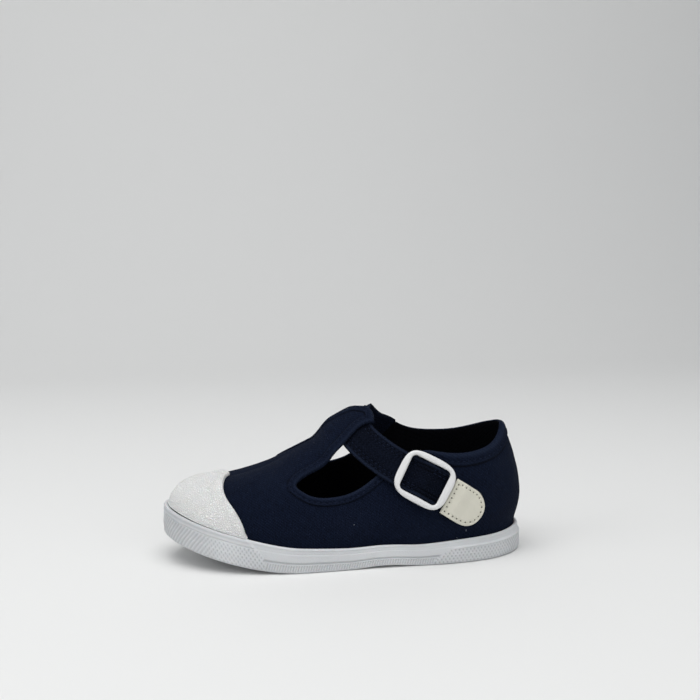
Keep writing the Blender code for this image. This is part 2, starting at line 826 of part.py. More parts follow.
def loop_strip(strap):
    """The end of the T-bar, folded down behind the strap and sewn on under it."""
    half = STRAP_WIDTH / 2 + LOOP_CLEAR
    front = STRAP_WIDTH / 2 + LOOP_LEAD + LOOP_RAMP
    top = GAP + STRAP + LOOP_CLEAR + LOOP_SKIN
    back = half + LOOP_SKIN
    seam = -LOOP_SINK
    inner = top - LOOP_SKIN
    across = np.linspace(-half, half, 7)
    profile = [(-front, -LOOP_UNDER)] + [(b, -LOOP_UNDER) for b in across] + [
        (back - 0.5, -LOOP_UNDER * 0.6), (back, 0.6), (back, top - 1.4), (back - 0.5, top - 0.4),
        (half - 0.6, top - LOOP_SKIN / 2), (half - 0.3, inner - 0.1), (half, inner - 0.7), (half, seam + 0.1)]
    profile += [(b, seam) for b in across[-2::-1]] + [(-front, seam)]
    profile = np.array(profile)
    rows = []
    for s in np.linspace(-LOOP_WIDTH / 2 + 0.8, LOOP_WIDTH / 2 - 0.4, 10):
        rows.append(strap.at(s, profile[:, 0], profile[:, 1]))
    return grid_solid(rows)


def up_for_height(along, side, height):
    """How far up the last a height is reached."""
    low = np.zeros(len(along))
    high = np.full(len(along), 0.6)
    for _ in range(40):
        middle = (low + high) / 2
        under = last(along, side, middle)[:, 2] < height
        low = np.where(under, middle, low)
        high = np.where(under, high, middle)
    return (low + high) / 2


def seat_height(along, side):
    """Height of the rim of the foxing."""
    return bottom_z(outline(along, side)[0]) + rim_at(along)


def make_toe_cap(material):
    start = CAP_EDGE[0].along
    side, along = around()
    low_up = up_for_height(along, side, seat_height(along, side) + GAP)
    low_line = flatten(side, along, low_up)[along > start]
    rear = np.concatenate([flat_rows(1, CAP_EDGE), flat_rows(-1, CAP_EDGE[-2::-1])])
    rear = resample(rear, EDGE_PITCH)[::-1]
    rear_along, rear_side, rear_up = unflatten(rear)
    limit = up_for_height(rear_along, rear_side, seat_height(rear_along, rear_side) + 2 * GAP)
    rear = rear[rear_up > limit + CAP_CORNER]
    corner_side = np.array([1.0, -1.0])
    corner_along = np.full(2, start)
    corner_up = up_for_height(corner_along, corner_side, seat_height(corner_along, corner_side) + 2 * GAP)
    corners = flatten(corner_side, corner_along, corner_up)
    loop = np.concatenate([corners[:1], low_line, corners[1:], rear])
    flat, source, triangles = triangulate(loop, [], [], CAP_PITCH)
    seat = flat[source < len(low_line) + 2, 0]

    def mapping(points, lift):
        along, side, _ = unflatten(points)
        spots = place(points, lift)
        seated = seat_height(along, side) + GAP
        low = np.isin(points[:, 0], seat) & (spots[:, 2] < seated + CAP_SKIN)
        spots[:, 2] = np.where(low, seated, spots[:, 2])
        return spots

    count = len(flat)
    points, faces = skin(flat, triangles, np.full(count, GAP + CAP_SKIN), np.full(count, GAP), mapping)
    return new_object("toe_cap", points, faces, material)


def make_insole(material):
    side, along = around()
    inset = INSET + CANVAS + 2 * GAP
    rings = []
    for height in (GAP * 2, GAP * 2 + INSOLE):
        x, y, _ = outline(along, side, inset)
        rings.append(np.stack([x, y, bottom_z(x) + SLAB + height], 1))
    count = len(along)
    points = np.concatenate(rings)
    faces = [(i, (i + 1) % count, count + (i + 1) % count, count + i) for i in range(count)]
    for start, turn in ((0, -1), (count, 1)):
        faces.append((start, start + 1, start + count - 1)[::turn])
        for i in range(1, STATIONS - 1):
            faces.append((start + i, start + i + 1, start + count - i - 1, start + count - i)[::turn])
        faces.append((start + STATIONS - 1, start + STATIONS, start + STATIONS + 1)[::turn])
    return new_object("insole", points, faces, material)


STRAP_END = BUCKLE_AT + BUCKLE_LENGTH / 2 + GAP + TAB_LAP


def strap_lifts():
    """Height of the strap's underside over the canvas, along its length."""
    on_hem = HEM_RISE + GAP
    hidden = -CANVAS - GAP - STRAP
    hump = on_hem + CENTRE_BAR + GAP
    over = CENTRE_BAR_WIDTH / 2
    loop = LOOP_WIDTH / 2
    places = [-STRAP_TAIL, -loop - 9.5, -loop, loop, loop + 5.0, BUCKLE_AT - over - 5.0, BUCKLE_AT - over,
              BUCKLE_AT + over, BUCKLE_AT + over + 5.0, STRAP_END]
    lifts = [hidden, hidden, GAP, GAP, on_hem, on_hem, hump, hump, GAP, GAP]
    return places, lifts


def strap_lift_at(s):
    places, lifts = strap_lifts()
    fine = np.asarray(s, float)
    return (np.interp(fine - 0.8, places, lifts) + np.interp(fine + 0.8, places, lifts)
            + np.interp(fine, places, lifts)) / 3


def strap_skin_at(s):
    """Thickness of the strap, pressed thin where it ends under the tab."""
    return np.interp(s, [STRAP_END - 2 * TAB_LAP, STRAP_END - TAB_LAP], [STRAP, STRAP_TIP])


def make_strap(material, track):
    half = STRAP_WIDTH / 2
    rows = []
    across = np.linspace(-half, half, 6)
    for s in np.r_[np.arange(-STRAP_TAIL, STRAP_END, 2.2), STRAP_END]:
        lift = strap_lift_at(s)
        under = track.at(np.full(6, s), across, np.full(6, lift))
        over = track.at(np.full(6, s), across[::-1], np.full(6, lift + strap_skin_at(s)))
        rows.append(np.concatenate([under, over]))
    return new_object("strap", *grid_solid(rows), material)


def rounded_rectangle(length, width, corner, count=6):
    """Corner arcs of a rectangle, from its first corner round."""
    points = []
    for k, (sx, sy) in enumerate(((1, 1), (-1, 1), (-1, -1), (1, -1))):
        for a in np.linspace(k, k + 1, count) * np.pi / 2:
            points.append((sx * (length / 2 - corner) + corner * np.cos(a),
                           sy * (width / 2 - corner) + corner * np.sin(a)))
    return np.array(points)


def make_buckle(material, track):
    outer = rounded_rectangle(BUCKLE_LENGTH, BUCKLE_WIDTH, BUCKLE_CORNER)
    side_bar = (BUCKLE_WIDTH - STRAP_WIDTH) / 2 - 0.2
    inner = rounded_rectangle(BUCKLE_LENGTH - 2 * BUCKLE_END_BAR, BUCKLE_WIDTH - 2 * side_bar,
                              BUCKLE_CORNER - BUCKLE_END_BAR)
    low = HEM_RISE + GAP + STRAP + GAP
    under = HEM_RISE + GAP
    section = [(0.0, 0.3), (0.0, 0.75), (0.25, 1.0), (0.75, 1.0), (1.0, 0.7), (1.0, 0.3), (0.8, 0.0), (0.2, 0.0)]
    count = len(outer)
    share, height = np.array(section).T
    spots = inner[:, None] + (outer - inner)[:, None] * share[None, :, None]
    points = track.at(BUCKLE_AT + spots[..., 0], spots[..., 1], low + BUCKLE_THICK * height)
    points = points.reshape(-1, 3)
    size = len(section)
    faces = []
    for i in range(count):
        j = (i + 1) % count
        for k in range(size):
            m = (k + 1) % size
            faces.append((i * size + k, j * size + k, j * size + m, i * size + m))
    buckle = new_object("buckle", points, faces, material)
    bar_half = STRAP_WIDTH / 2 + 1.6
    post = STRAP_WIDTH / 2 + GAP
    high = low + BUCKLE_THICK * 0.5
    over = under + CENTRE_BAR
    profile = [(-bar_half, under), (0.0, under), (bar_half, under), (bar_half, high), (post, high),
               (post, over), (0.0, over), (-post, over), (-post, high), (-bar_half, high)]
    rows = []
    for s in (-CENTRE_BAR_WIDTH / 2, CENTRE_BAR_WIDTH / 2):
        rows.append(np.array([track.at(BUCKLE_AT + s, b, lift) for b, lift in profile]))
    bar = cutter(new_object("centre_bar", *grid_solid(rows)))
    boolean(buckle, bar, "UNION")
    return buckle


def make_tab(material, track):
    front = BUCKLE_AT + BUCKLE_LENGTH / 2 + GAP
    half = TAB_WIDTH / 2
    run = TAB_LENGTH - half
    outline_points = [(0.0, b) for b in np.linspace(-half, half, 7)]
    outline_points += [(s, half) for s in np.linspace(0, run, 4)[1:]]
    for a in np.linspace(np.pi / 2, -np.pi / 2, 11)[1:-1]:
        outline_points.append((run + half * np.cos(a), half * np.sin(a)))
    outline_points += [(s, -half) for s in np.linspace(run, 0, 4)[:-1]]
    loop = np.array(outline_points)
    lap = STRAP_END - front
    edge = half - TAB_SKIN / 2
    threads = []
    for d in (TAB_CLEAR, TAB_CLEAR + TAB_RAMP):
        threads.append(np.array([(lap + d, b) for b in np.linspace(-edge, edge, 7)]))
    flat, _, triangles = triangulate(loop, [], [], TAB_PITCH, threads)
    over = np.clip((flat[:, 0] - lap - TAB_CLEAR) / TAB_RAMP, 0, 1)
    inner = (GAP + STRAP_TIP + GAP) * (1 - over) + GAP * over

    def mapping(points, lift):
        return track.at(front + points[:, 0], points[:, 1], lift)

    points, faces = skin(flat, triangles, inner + TAB_SKIN, inner, mapping)
    return new_object("tab", points, faces, material)


def main():
    for item in list(bpy.data.objects):
        bpy.data.objects.remove(item)
    canvas = new_material("canvas", (0.010, 0.014, 0.035), 0.9)
    webbing = new_material("webbing", (0.012, 0.016, 0.038), 0.85)
    rubber = new_material("rubber", (0.80, 0.81, 0.83), 0.5)
    cap_rubber = new_material("cap_rubber", (0.82, 0.83, 0.84), 0.55)
    lining = new_material("lining", (0.012, 0.013, 0.022), 0.9)
    plastic = new_material("plastic", (0.86, 0.86, 0.87), 0.3)
    hide = new_material("hide", (0.74, 0.73, 0.66), 0.6)
    strap = Track(STRAP_PATH, STRAP_KNOT)
    make_sole(rubber)
    make_insole(lining)
    make_upper(canvas, strap)
    make_toe_cap(cap_rubber)
    make_strap(webbing, strap)
    make_buckle(plastic, strap)
    make_tab(hide, strap)


main()
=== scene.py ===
import math

import bpy
import numpy as np
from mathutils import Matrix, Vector
from mathutils.geometry import delaunay_2d_cdt
from mathutils.kdtree import KDTree


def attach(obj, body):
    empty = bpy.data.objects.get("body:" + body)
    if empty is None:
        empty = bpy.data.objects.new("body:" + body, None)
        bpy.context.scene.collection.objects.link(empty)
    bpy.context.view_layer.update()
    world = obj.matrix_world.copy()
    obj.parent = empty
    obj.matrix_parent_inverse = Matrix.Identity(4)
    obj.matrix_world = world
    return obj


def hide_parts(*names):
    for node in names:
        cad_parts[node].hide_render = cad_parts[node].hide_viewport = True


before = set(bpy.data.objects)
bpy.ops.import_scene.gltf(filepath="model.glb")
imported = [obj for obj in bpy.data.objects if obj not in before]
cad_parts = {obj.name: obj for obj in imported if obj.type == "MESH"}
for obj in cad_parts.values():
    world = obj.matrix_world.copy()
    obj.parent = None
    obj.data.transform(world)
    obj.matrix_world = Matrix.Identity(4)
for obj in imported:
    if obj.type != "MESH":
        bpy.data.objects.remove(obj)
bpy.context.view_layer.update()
mm = 0.001
toCm = 0.1

# Everything below is in millimetres: +X to the toe, +Y to the outer side, +Z up
lastShape = {
    "length": 165.0,
    "width": 61.0,
    "instep": 65.0,
    "slab": 6.0,
    "rim": 2.5,
    "gap": 0.3,
    "foxing": 10.0,
    "toeSpring": 12.0,
    "springPower": 1.6,
    "archLift": 1.0,
    "ballX": 24.0,
    "heelBreastX": -34.0,
    "forefootX": 5.0,
    "swell": 3.7,
    "swellFrom": 0.055,
    "swellRun": 0.13,
    "ridgeHeelIn": 32.0,
    "ridgeToeIn": 25.0,
    "ridgeReach": 7.0,
    "reachFrom": 0.6,
    "flatLength": 1.45,
    "flatWidth": 2.5,
    # along, axis, lateral, medial as shares of the width
    "outline": [
        (0.0, 0.000, 0.000, 0.000), (0.1, 0.000, 0.180, 0.180), (0.2, 0.000, 0.338, 0.338),
        (0.3, 0.000, 0.425, 0.402), (0.4, 0.000, 0.452, 0.375), (0.5, -0.010, 0.482, 0.390),
        (0.6, -0.025, 0.525, 0.475), (0.7, -0.049, 0.500, 0.455), (0.8, -0.065, 0.390, 0.370),
        (0.9, -0.077, 0.212, 0.212), (1.0, -0.082, 0.000, 0.000)],
    # along, height of the foxing as a share
    "rimLine": [
        (0.0, 1.26), (0.1, 1.21), (0.2, 1.12), (0.3, 1.05), (0.4, 0.92), (0.5, 0.95),
        (0.6, 1.10), (0.7, 1.28), (0.8, 1.32), (0.9, 1.33), (1.0, 1.35)],
    # along, roundness of the section, share of the swell
    "sections": [
        (0.0, 2.25, 1.00), (0.3, 2.10, 0.56), (0.4, 1.95, 0.36), (0.5, 1.85, 0.26), (0.6, 1.95, 0.20),
        (0.7, 2.20, 0.10), (0.8, 2.38, 0.00), (0.9, 2.42, 0.00), (1.0, 2.43, 0.00)],
    # x, y and z of the crest as shares of length, width and instep
    "ridge": [
        (-0.285, 0.000, 1.270), (-0.180, -0.040, 1.160), (-0.060, -0.065, 1.012), (0.006, -0.066, 0.934),
        (0.073, -0.066, 0.832), (0.127, -0.066, 0.754), (0.176, -0.066, 0.682), (0.255, -0.070, 0.598),
        (0.330, -0.076, 0.560), (0.380, -0.080, 0.555)],
}


def curveThrough(places, values):
    xs = np.asarray(places, float)
    ys = np.asarray(values, float)
    count = len(xs)
    step = np.diff(xs)
    matrix = np.zeros((count, count))
    right = np.zeros(ys.shape)
    matrix[0, 0] = matrix[-1, -1] = 1.0
    for i in range(1, count - 1):
        matrix[i, i - 1:i + 2] = step[i - 1], 2 * (step[i - 1] + step[i]), step[i]
        right[i] = 3 * ((ys[i + 1] - ys[i]) / step[i] - (ys[i] - ys[i - 1]) / step[i - 1])
    bend = np.linalg.solve(matrix, right)

    def value(place):
        place = np.clip(np.asarray(place, float), xs[0], xs[-1])
        i = np.clip(np.searchsorted(xs, place) - 1, 0, count - 2)
        d = place - xs[i]
        w = step[i]
        if ys.ndim > 1:
            d = d[..., None]
            w = w[..., None]
        slope = (ys[i + 1] - ys[i]) / w - w * (2 * bend[i] + bend[i + 1]) / 3
        return ys[i] + slope * d + bend[i] * d ** 2 + (bend[i + 1] - bend[i]) / (3 * w) * d ** 3

    return value


def tableCurve(table, column, placeSize=1.0, size=1.0):
    return curveThrough([row[0] * placeSize for row in table], [row[column] * size for row in table])


def smooth(t):
    t = np.clip(t, 0, 1)
    return t * t * (3 - 2 * t)


def runLength(points):
    # length of a line in space up to each of its points
    return np.r_[0, np.cumsum(np.linalg.norm(np.diff(points, axis=0), axis=1))]


def flatRun(points):
    # the same for a line in a plane
    return np.r_[0, np.cumsum(np.hypot(*np.diff(points, axis=0).T))]


def evenLoop(points, count):
    # closed flat loop in even steps, and its length
    closed = np.concatenate([points, points[:1]])
    run = flatRun(closed)
    even = np.linspace(0, run[-1], count + 1)[:-1]
    return np.stack([np.interp(even, run, closed[:, k]) for k in range(2)], 1), run[-1]


def bell(gap, width):
    return np.exp(-(gap / width) ** 2)


axisAt = tableCurve(lastShape["outline"], 1, size=lastShape["width"])
lateralAt = tableCurve(lastShape["outline"], 2, size=lastShape["width"])
medialAt = tableCurve(lastShape["outline"], 3, size=lastShape["width"])
rimAt = tableCurve(lastShape["rimLine"], 1, size=lastShape["foxing"])
powerAt = tableCurve(lastShape["sections"], 1)
swellAt = tableCurve(lastShape["sections"], 2, size=lastShape["swell"])
ridgeY = tableCurve(lastShape["ridge"], 1, lastShape["length"], lastShape["width"])
ridgeZ = tableCurve(lastShape["ridge"], 2, lastShape["length"], lastShape["instep"])
halfLength = lastShape["length"] / 2
wallInset = lastShape["rim"] + lastShape["gap"]
ridgeStart = -halfLength + wallInset + lastShape["ridgeHeelIn"]
ridgeStop = halfLength - wallInset - lastShape["ridgeToeIn"]


def bottomZ(x):
    # underside of the sole: flat at heel and ball, lifted at arch and toe
    ball, breast = lastShape["ballX"], lastShape["heelBreastX"]
    toe = np.clip((x - ball) / (halfLength - ball), 0, 1)
    arch = np.clip((x - breast) / (lastShape["forefootX"] - breast), 0, 1)
    spring = lastShape["toeSpring"] * toe ** lastShape["springPower"]
    return spring + lastShape["archLift"] * np.sin(np.pi * arch) ** 2


def rawOutline(along, side, inset=0.0):
    turn = np.pi * along
    half = np.where(side > 0, lateralAt(along), medialAt(along)) - inset * np.sin(turn)
    return -(halfLength - inset) * np.cos(turn), axisAt(along) + side * half, half


# A panel of the foxing has its low and high end and its bow as shares of the length
foxing = {
    "bandHeight": 4.0,
    "grooveDepth": 0.45,
    "grooveWidth": 0.5,
    "panelStep": 0.6,
    "edgeRound": 0.9,
    "beadHeight": 3.0,
    "beadStep": 0.5,
    "lean": 0.5,
    "stepSlope": 0.25,
    "toePanel": (0.236, 0.285, 0.018),
    "heelPanel": (-0.205, -0.320, 0.020),
    "heelPanelTop": 0.72,
    "ribPitch": 1.15,
    "ribDepth": 0.3,
    "ribSlant": 0.75,
    "ribLean": 0.3,
    "ribEdge": 1.4,
    "dotPitch": 1.85,
    "dotDepth": 0.45,
    "coarseShare": 0.75,
    "coarseEdge": 1.2,
    "toeTip": (56.0, 14.0),
    "heelBack": (68.0, 9.0),
    "panelFade": 0.5,
    "beadRibs": 3,
    "beadRibDepth": 0.34,
    "ridgeRise": 0.22,
    "lipRise": 0.16,
    "stationPitch": 0.25,
    "treadDepth": 1.0,
    "treadWidth": 1.8,
    "treadPitch": 5.5,
    "treadMargin": 6.0,
    "treadFore": (-12.0, 34.0),
}
lowBand = foxing["bandHeight"] / lastShape["foxing"]
beadFrom = 1 - foxing["beadHeight"] / (lastShape["foxing"] * lastShape["rimLine"][-1][1])


def arcX(panel, share):
    low, high, bow = panel
    return (low + (high - low) * share - np.sign(high - low) * bow * np.sin(np.pi * share)) * lastShape["length"]


def findMiddle():
    along = np.linspace(0, 1, 401)
    x = rawOutline(along, np.ones(401))[0]
    raised = (x > arcX(foxing["toePanel"], lowBand)) | (x < arcX(foxing["heelPanel"], lowBand))
    inset = np.where(raised, 0.0, foxing["panelStep"])
    lateral = rawOutline(along, np.ones(401), inset)[1].max()
    medial = rawOutline(along, -np.ones(401), inset)[1].min()
    return (lateral + medial) / 2


middleY = findMiddle()


def outline(along, side, inset=0.0):
    x, y, half = rawOutline(along, side, inset)
    return x, y - middleY, half


def crestX(along):
    reach = np.clip((along - lastShape["reachFrom"]) / (1 - lastShape["reachFrom"]), 0, 1)
    swing = (ridgeStop - ridgeStart) / 2 * np.cos(np.pi * along)
    return (ridgeStart + ridgeStop) / 2 - swing + lastShape["ridgeReach"] * reach ** 2


def lastPoint(along, side, up):
    # outer face of the canvas, from the edge of the sole at up 0 to the crest at up 1
    xo, yo, _ = outline(along, side, wallInset)
    zo = bottomZ(xo) + lastShape["slab"] + lastShape["gap"]
    xr = crestX(along)
    yr = ridgeY(xr) - middleY
    power = powerAt(along)
    angle = np.clip(up, 0, 1) * np.pi / 2
    reach = np.cos(angle) ** (2 / power)
    climb = np.sin(angle) ** (2 / power)
    dx = xo - xr
    dy = yo - yr
    run = np.clip(up - lastShape["swellFrom"], 0, 1) / lastShape["swellRun"]
    share = reach + swellAt(along) * run * np.exp(1 - run) / np.hypot(dx, dy)
    return np.stack([xr + dx * share, yr + dy * share, zo + (ridgeZ(xr) - zo) * climb], -1)


def flatten(side, along, up):
    xo, _, half = outline(along, side, wallInset)
    xr = crestX(along)
    x = xr + (lastShape["flatLength"] * xo - xr) * (1 - up)
    return np.stack([x, side * lastShape["flatWidth"] * half * (1 - up)], -1)


def unflatten(flat):
    flat = np.asarray(flat, float)
    side = np.where(flat[..., 1] >= 0, 1.0, -1.0)
    # a point on the middle line is taken a hair beside it, where the surface has a slope
    far = np.maximum(np.abs(flat[..., 1]), 0.02)
    low = np.zeros(far.shape)
    high = np.ones(far.shape)
    for _ in range(40):
        along = (low + high) / 2
        xo, _, half = outline(along, side, wallInset)
        xr = crestX(along)
        up = np.clip(1 - far / np.maximum(lastShape["flatWidth"] * half, 1e-9), 0, 1)
        short = xr + (lastShape["flatLength"] * xo - xr) * (1 - up) < flat[..., 0]
        low = np.where(short, along, low)
        high = np.where(short, high, along)
    return along, side, up


def surface(flat):
    return lastPoint(*unflatten(flat))


def slopes(flat):
    small = 0.05
    ex = np.array([small, 0.0])
    ey = np.array([0.0, small])
    dx = (surface(flat + ex) - surface(flat - ex)) / (2 * small)
    dy = (surface(flat + ey) - surface(flat - ey)) / (2 * small)
    return dx, dy


def normals(flat):
    out = np.cross(*slopes(flat))
    return out / np.linalg.norm(out, axis=-1, keepdims=True)


def place(flat, lift):
    flat = np.asarray(flat, float)
    lift = np.broadcast_to(np.asarray(lift, float), flat.shape[:-1])
    return surface(flat) + normals(flat) * lift[..., None]


def slide(flat, move, steps=4):
    # moves points of the flat pattern by a direction in space
    flat = np.array(flat, float)
    part = np.asarray(move, float) / steps
    for _ in range(steps):
        dx, dy = slopes(flat)
        a = np.sum(dx * dx, -1)
        b = np.sum(dx * dy, -1)
        c = np.sum(dy * dy, -1)
        p = np.sum(dx * part, -1)
        q = np.sum(dy * part, -1)
        det = a * c - b * b
        flat = flat + np.stack([(c * p - b * q) / det, (a * q - b * p) / det], -1)
    return flat


# Side of the foot, along, up; the strap's zero is at row strapKnot, counted from 0
strapPath = [
    (-1, 0.368, 0.400), (-1, 0.386, 0.500), (-1, 0.408, 0.620), (-1, 0.440, 0.820), (1, 0.464, 0.860),
    (1, 0.465, 0.670), (1, 0.442, 0.538), (1, 0.407, 0.424), (1, 0.362, 0.325), (1, 0.315, 0.232),
    (1, 0.262, 0.150), (1, 0.225, 0.110)]
strapKnot = 4


class Track:
    # s runs along a path on the last and b across it, both in real lengths
    def __init__(self, rows, zeroRow):
        knots = np.array([flatten(np.float64(side), along, up) for side, along, up in rows])
        reach = runLength(surface(knots))
        self.curve = curveThrough(reach, knots)
        self.fine = np.linspace(0, reach[-1], 400)
        self.run = runLength(surface(self.curve(self.fine)))
        self.zero = np.interp(reach[zeroRow], self.fine, self.run)

    def middle(self, s):
        return self.curve(np.interp(np.asarray(s, float) + self.zero, self.run, self.fine))

    def flat(self, s, b):
        s, b = np.broadcast_arrays(np.asarray(s, float), np.asarray(b, float))
        mid = self.middle(s)
        ahead = surface(self.middle(s + 0.5)) - surface(self.middle(s - 0.5))
        across = np.cross(normals(mid), ahead)
        across /= np.linalg.norm(across, axis=-1, keepdims=True)
        return slide(mid, across * b[..., None])

    def at(self, s, b, lift):
        return place(self.flat(s, b), lift)


strapTrack = Track(strapPath, strapKnot)


def resample(points, pitch):
    points = np.asarray(points, float)
    reach = runLength(surface(points))
    curve = curveThrough(reach, points)
    fine = np.linspace(0, reach[-1], 12 * len(points) + 40)
    line = curve(fine)
    run = runLength(surface(line))
    count = max(2, int(round(run[-1] / pitch)) + 1)
    return curve(np.interp(np.linspace(0, run[-1], count), run, fine))


def offsetLoop(loop, width, sign):
    ahead = surface(np.roll(loop, -1, 0)) - surface(loop)
    behind = surface(loop) - surface(np.roll(loop, 1, 0))
    along = ahead + behind
    along /= np.linalg.norm(along, axis=1, keepdims=True)
    across = np.cross(normals(loop), along) * sign
    return slide(loop, across * width)


def inside(points, loop):
    found = []
    for part in np.array_split(points, max(1, len(points) // 4000)):
        x, y = part[:, 0:1], part[:, 1:2]
        x0, y0 = loop[:, 0], loop[:, 1]
        x1, y1 = np.roll(x0, -1), np.roll(y0, -1)
        crosses = (y0 > y) != (y1 > y)
        with np.errstate(divide="ignore", invalid="ignore"):
            at = x0 + (y - y0) / (y1 - y0) * (x1 - x0)
        found.append((np.sum(crosses & (x < at), axis=1) % 2) == 1)
    return np.concatenate(found)


def distances(points, line):
    # distance of every point to the nearest sample of a line, and which sample that is
    points = np.asarray(points, float)
    line = np.asarray(line, float)
    width = line.shape[1]
    tree = KDTree(len(line))
    for i, spot in enumerate(line):
        tree.insert(tuple(spot) + (0.0,) * (3 - width), i)
    tree.balance()
    gaps = np.empty(len(points))
    which = np.empty(len(points), int)
    for i, spot in enumerate(points):
        _, which[i], gaps[i] = tree.find(tuple(spot) + (0.0,) * (3 - width))
    return gaps, which


def densify(line, closed=False, count=6):
    if closed:
        line = np.concatenate([line, line[:1]])
    reach = np.arange(len(line))
    fine = np.linspace(0, len(line) - 1, (len(line) - 1) * count + 1)
    return np.stack([np.interp(fine, reach, line[:, k]) for k in range(line.shape[1])], 1)


def hexGrid(low, high, pitch):
    rows = []
    yStep = pitch * math.sqrt(3) / 2
    for j in range(int(math.floor(low[1] / yStep)), int(math.ceil(high[1] / yStep)) + 1):
        shift = pitch / 2 if j % 2 else 0.0
        i = np.arange(math.floor(low[0] / pitch), math.ceil(high[0] / pitch) + 1)
        rows.append(np.stack([i * pitch + shift, np.full(len(i), j * yStep)], 1))
    return np.concatenate(rows)


def fillPattern(outer, holes, extra, pitch, clear=0.6):
    # triangles that fill a flat pattern; extra points are kept, the rest is an even grid
    loops = [outer] + holes
    grid = hexGrid(outer.min(0), outer.max(0), pitch)
    grid = grid[inside(grid, outer)]
    for hole in holes:
        grid = grid[~inside(grid, hole)]
    kept = np.concatenate(loops + [extra]) if len(extra) else np.concatenate(loops)
    gaps, _ = distances(grid, kept)
    grid = grid[gaps > pitch * clear]
    points = np.concatenate([kept, grid])
    edges = []
    start = 0
    for loop in loops:
        count = len(loop)
        edges += [(start + i, start + (i + 1) % count) for i in range(count)]
        start += count
    verts, _, faces, _, _, _ = delaunay_2d_cdt([Vector(p) for p in points], edges, [], 0, 1e-6)
    flat = np.array([(v.x, v.y) for v in verts])
    faces = np.array([f for f in faces if len(f) == 3])
    middles = flat[faces].mean(1)
    keep = inside(middles, outer)
    for hole in holes:
        keep &= ~inside(middles, hole)
    faces = faces[keep]
    a, b, c = flat[faces[:, 0]], flat[faces[:, 1]], flat[faces[:, 2]]
    turn = (b[:, 0] - a[:, 0]) * (c[:, 1] - a[:, 1]) - (b[:, 1] - a[:, 1]) * (c[:, 0] - a[:, 0])
    faces[turn < 0] = faces[turn < 0][:, ::-1]
    used = np.unique(faces)
    index = np.full(len(flat), -1)
    index[used] = np.arange(len(used))
    return flat[used], index[faces]


def borderEdges(faces):
    sides = {edge: True for face in faces for edge in zip(face, (*face[1:], face[0]))}
    return [edge for edge in sides if (edge[1], edge[0]) not in sides]


def borderWall(faces, count):
    # quads from the border of a skin to the same border count points on
    return [(b, a, a + count, b + count) for a, b in borderEdges(faces)]


def thickFaces(faces, count):
    # a skin, the wall round it and the same skin turned over
    turned = [(a + count, c + count, b + count) for a, b, c in faces]
    return [tuple(f) for f in faces] + borderWall(faces, count) + turned


def gridFaces(rows, columns, closed):
    faces = []
    for r in range(rows - 1):
        for c in range(columns if closed else columns - 1):
            d = (c + 1) % columns
            faces.append((r * columns + c, r * columns + d, (r + 1) * columns + d, (r + 1) * columns + c))
    return faces


def tubeFaces(rows, columns, start=0):
    # closed grid with a face over both ends
    faces = gridFaces(rows, columns, True)
    faces.append(tuple(range(columns))[::-1])
    faces.append(tuple((rows - 1) * columns + k for k in range(columns)))
    return [tuple(start + k for k in face) for face in faces]


def gridUv(columns, rows):
    # flat coordinates of a grid in centimetres
    return np.stack(np.broadcast_arrays(columns[None, :], rows[:, None]), -1).reshape(-1, 2) * toCm


def makePiece(name, points, faces, material, node=None, uv=None, masks=None, sharp=None):
    mesh = bpy.data.meshes.new(name)
    mesh.from_pydata((np.asarray(points) * mm).tolist(), [], [tuple(int(k) for k in f) for f in faces])
    mesh.validate()
    mesh.shade_smooth()
    if sharp:
        mesh.set_sharp_from_angle(angle=math.radians(sharp))
    if uv is not None:
        layer = mesh.uv_layers.new(name="UVMap")
        index = np.empty(len(mesh.loops), int)
        mesh.loops.foreach_get("vertex_index", index)
        layer.data.foreach_set("uv", np.asarray(uv, float)[index].ravel())
    for key, values in (masks or {}).items():
        attribute = mesh.attributes.new(key, "FLOAT", "POINT")
        attribute.data.foreach_set("value", np.asarray(values, float))
    piece = bpy.data.objects.new(name, mesh)
    bpy.context.scene.collection.objects.link(piece)
    mesh.materials.append(material)
    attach(piece, "root")
    if node:
        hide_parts(node)
    return piece


def clothUv(along, side, up, steps=14):
    # distance round the foot along, and distance from the crest across
    before = lastPoint(along, side, up)
    total = np.zeros(len(along))
    for k in range(1, steps + 1):
        after = lastPoint(along, side, up + (1 - up) * k / steps)
        total += np.linalg.norm(after - before, axis=1)
        before = after
    table = np.linspace(0, 1, 300)
    edge = lastPoint(table, np.ones(300), np.zeros(300))
    arc = runLength(edge)
    around = np.interp(along, table, arc) - arc[-1] / 2
    return np.stack([around * (1 - up) + crestX(along) * up, side * total], 1) * toCm


# Small shader helpers
def link(tree, output, target):
    tree.links.new(output, target)


def addNode(tree, kind, **values):
    node = tree.nodes.new(kind)
    for key, value in values.items():
        setattr(node, key, value)
    return node


def mathNode(tree, operation, a, b=None, clamp=False):
    node = addNode(tree, "ShaderNodeMath", operation=operation, use_clamp=clamp)
    for socket, value in zip(node.inputs, (a, b)):
        if value is None:
            continue
        if isinstance(value, (int, float)):
            socket.default_value = value
        else:
            tree.links.new(value, socket)
    return node.outputs[0]


def plus(tree, a, b, clamp=False):
    return mathNode(tree, "ADD", a, b, clamp)


def minus(tree, a, b, clamp=False):
    return mathNode(tree, "SUBTRACT", a, b, clamp)


def times(tree, a, b, clamp=False):
    return mathNode(tree, "MULTIPLY", a, b, clamp)


def noiseNode(tree, **values):
    node = addNode(tree, "ShaderNodeTexNoise")
    for key, value in values.items():
        node.inputs[key].default_value = value
    return node


def maskOf(tree, name):
    return addNode(tree, "ShaderNodeAttribute", attribute_name=name).outputs["Fac"]


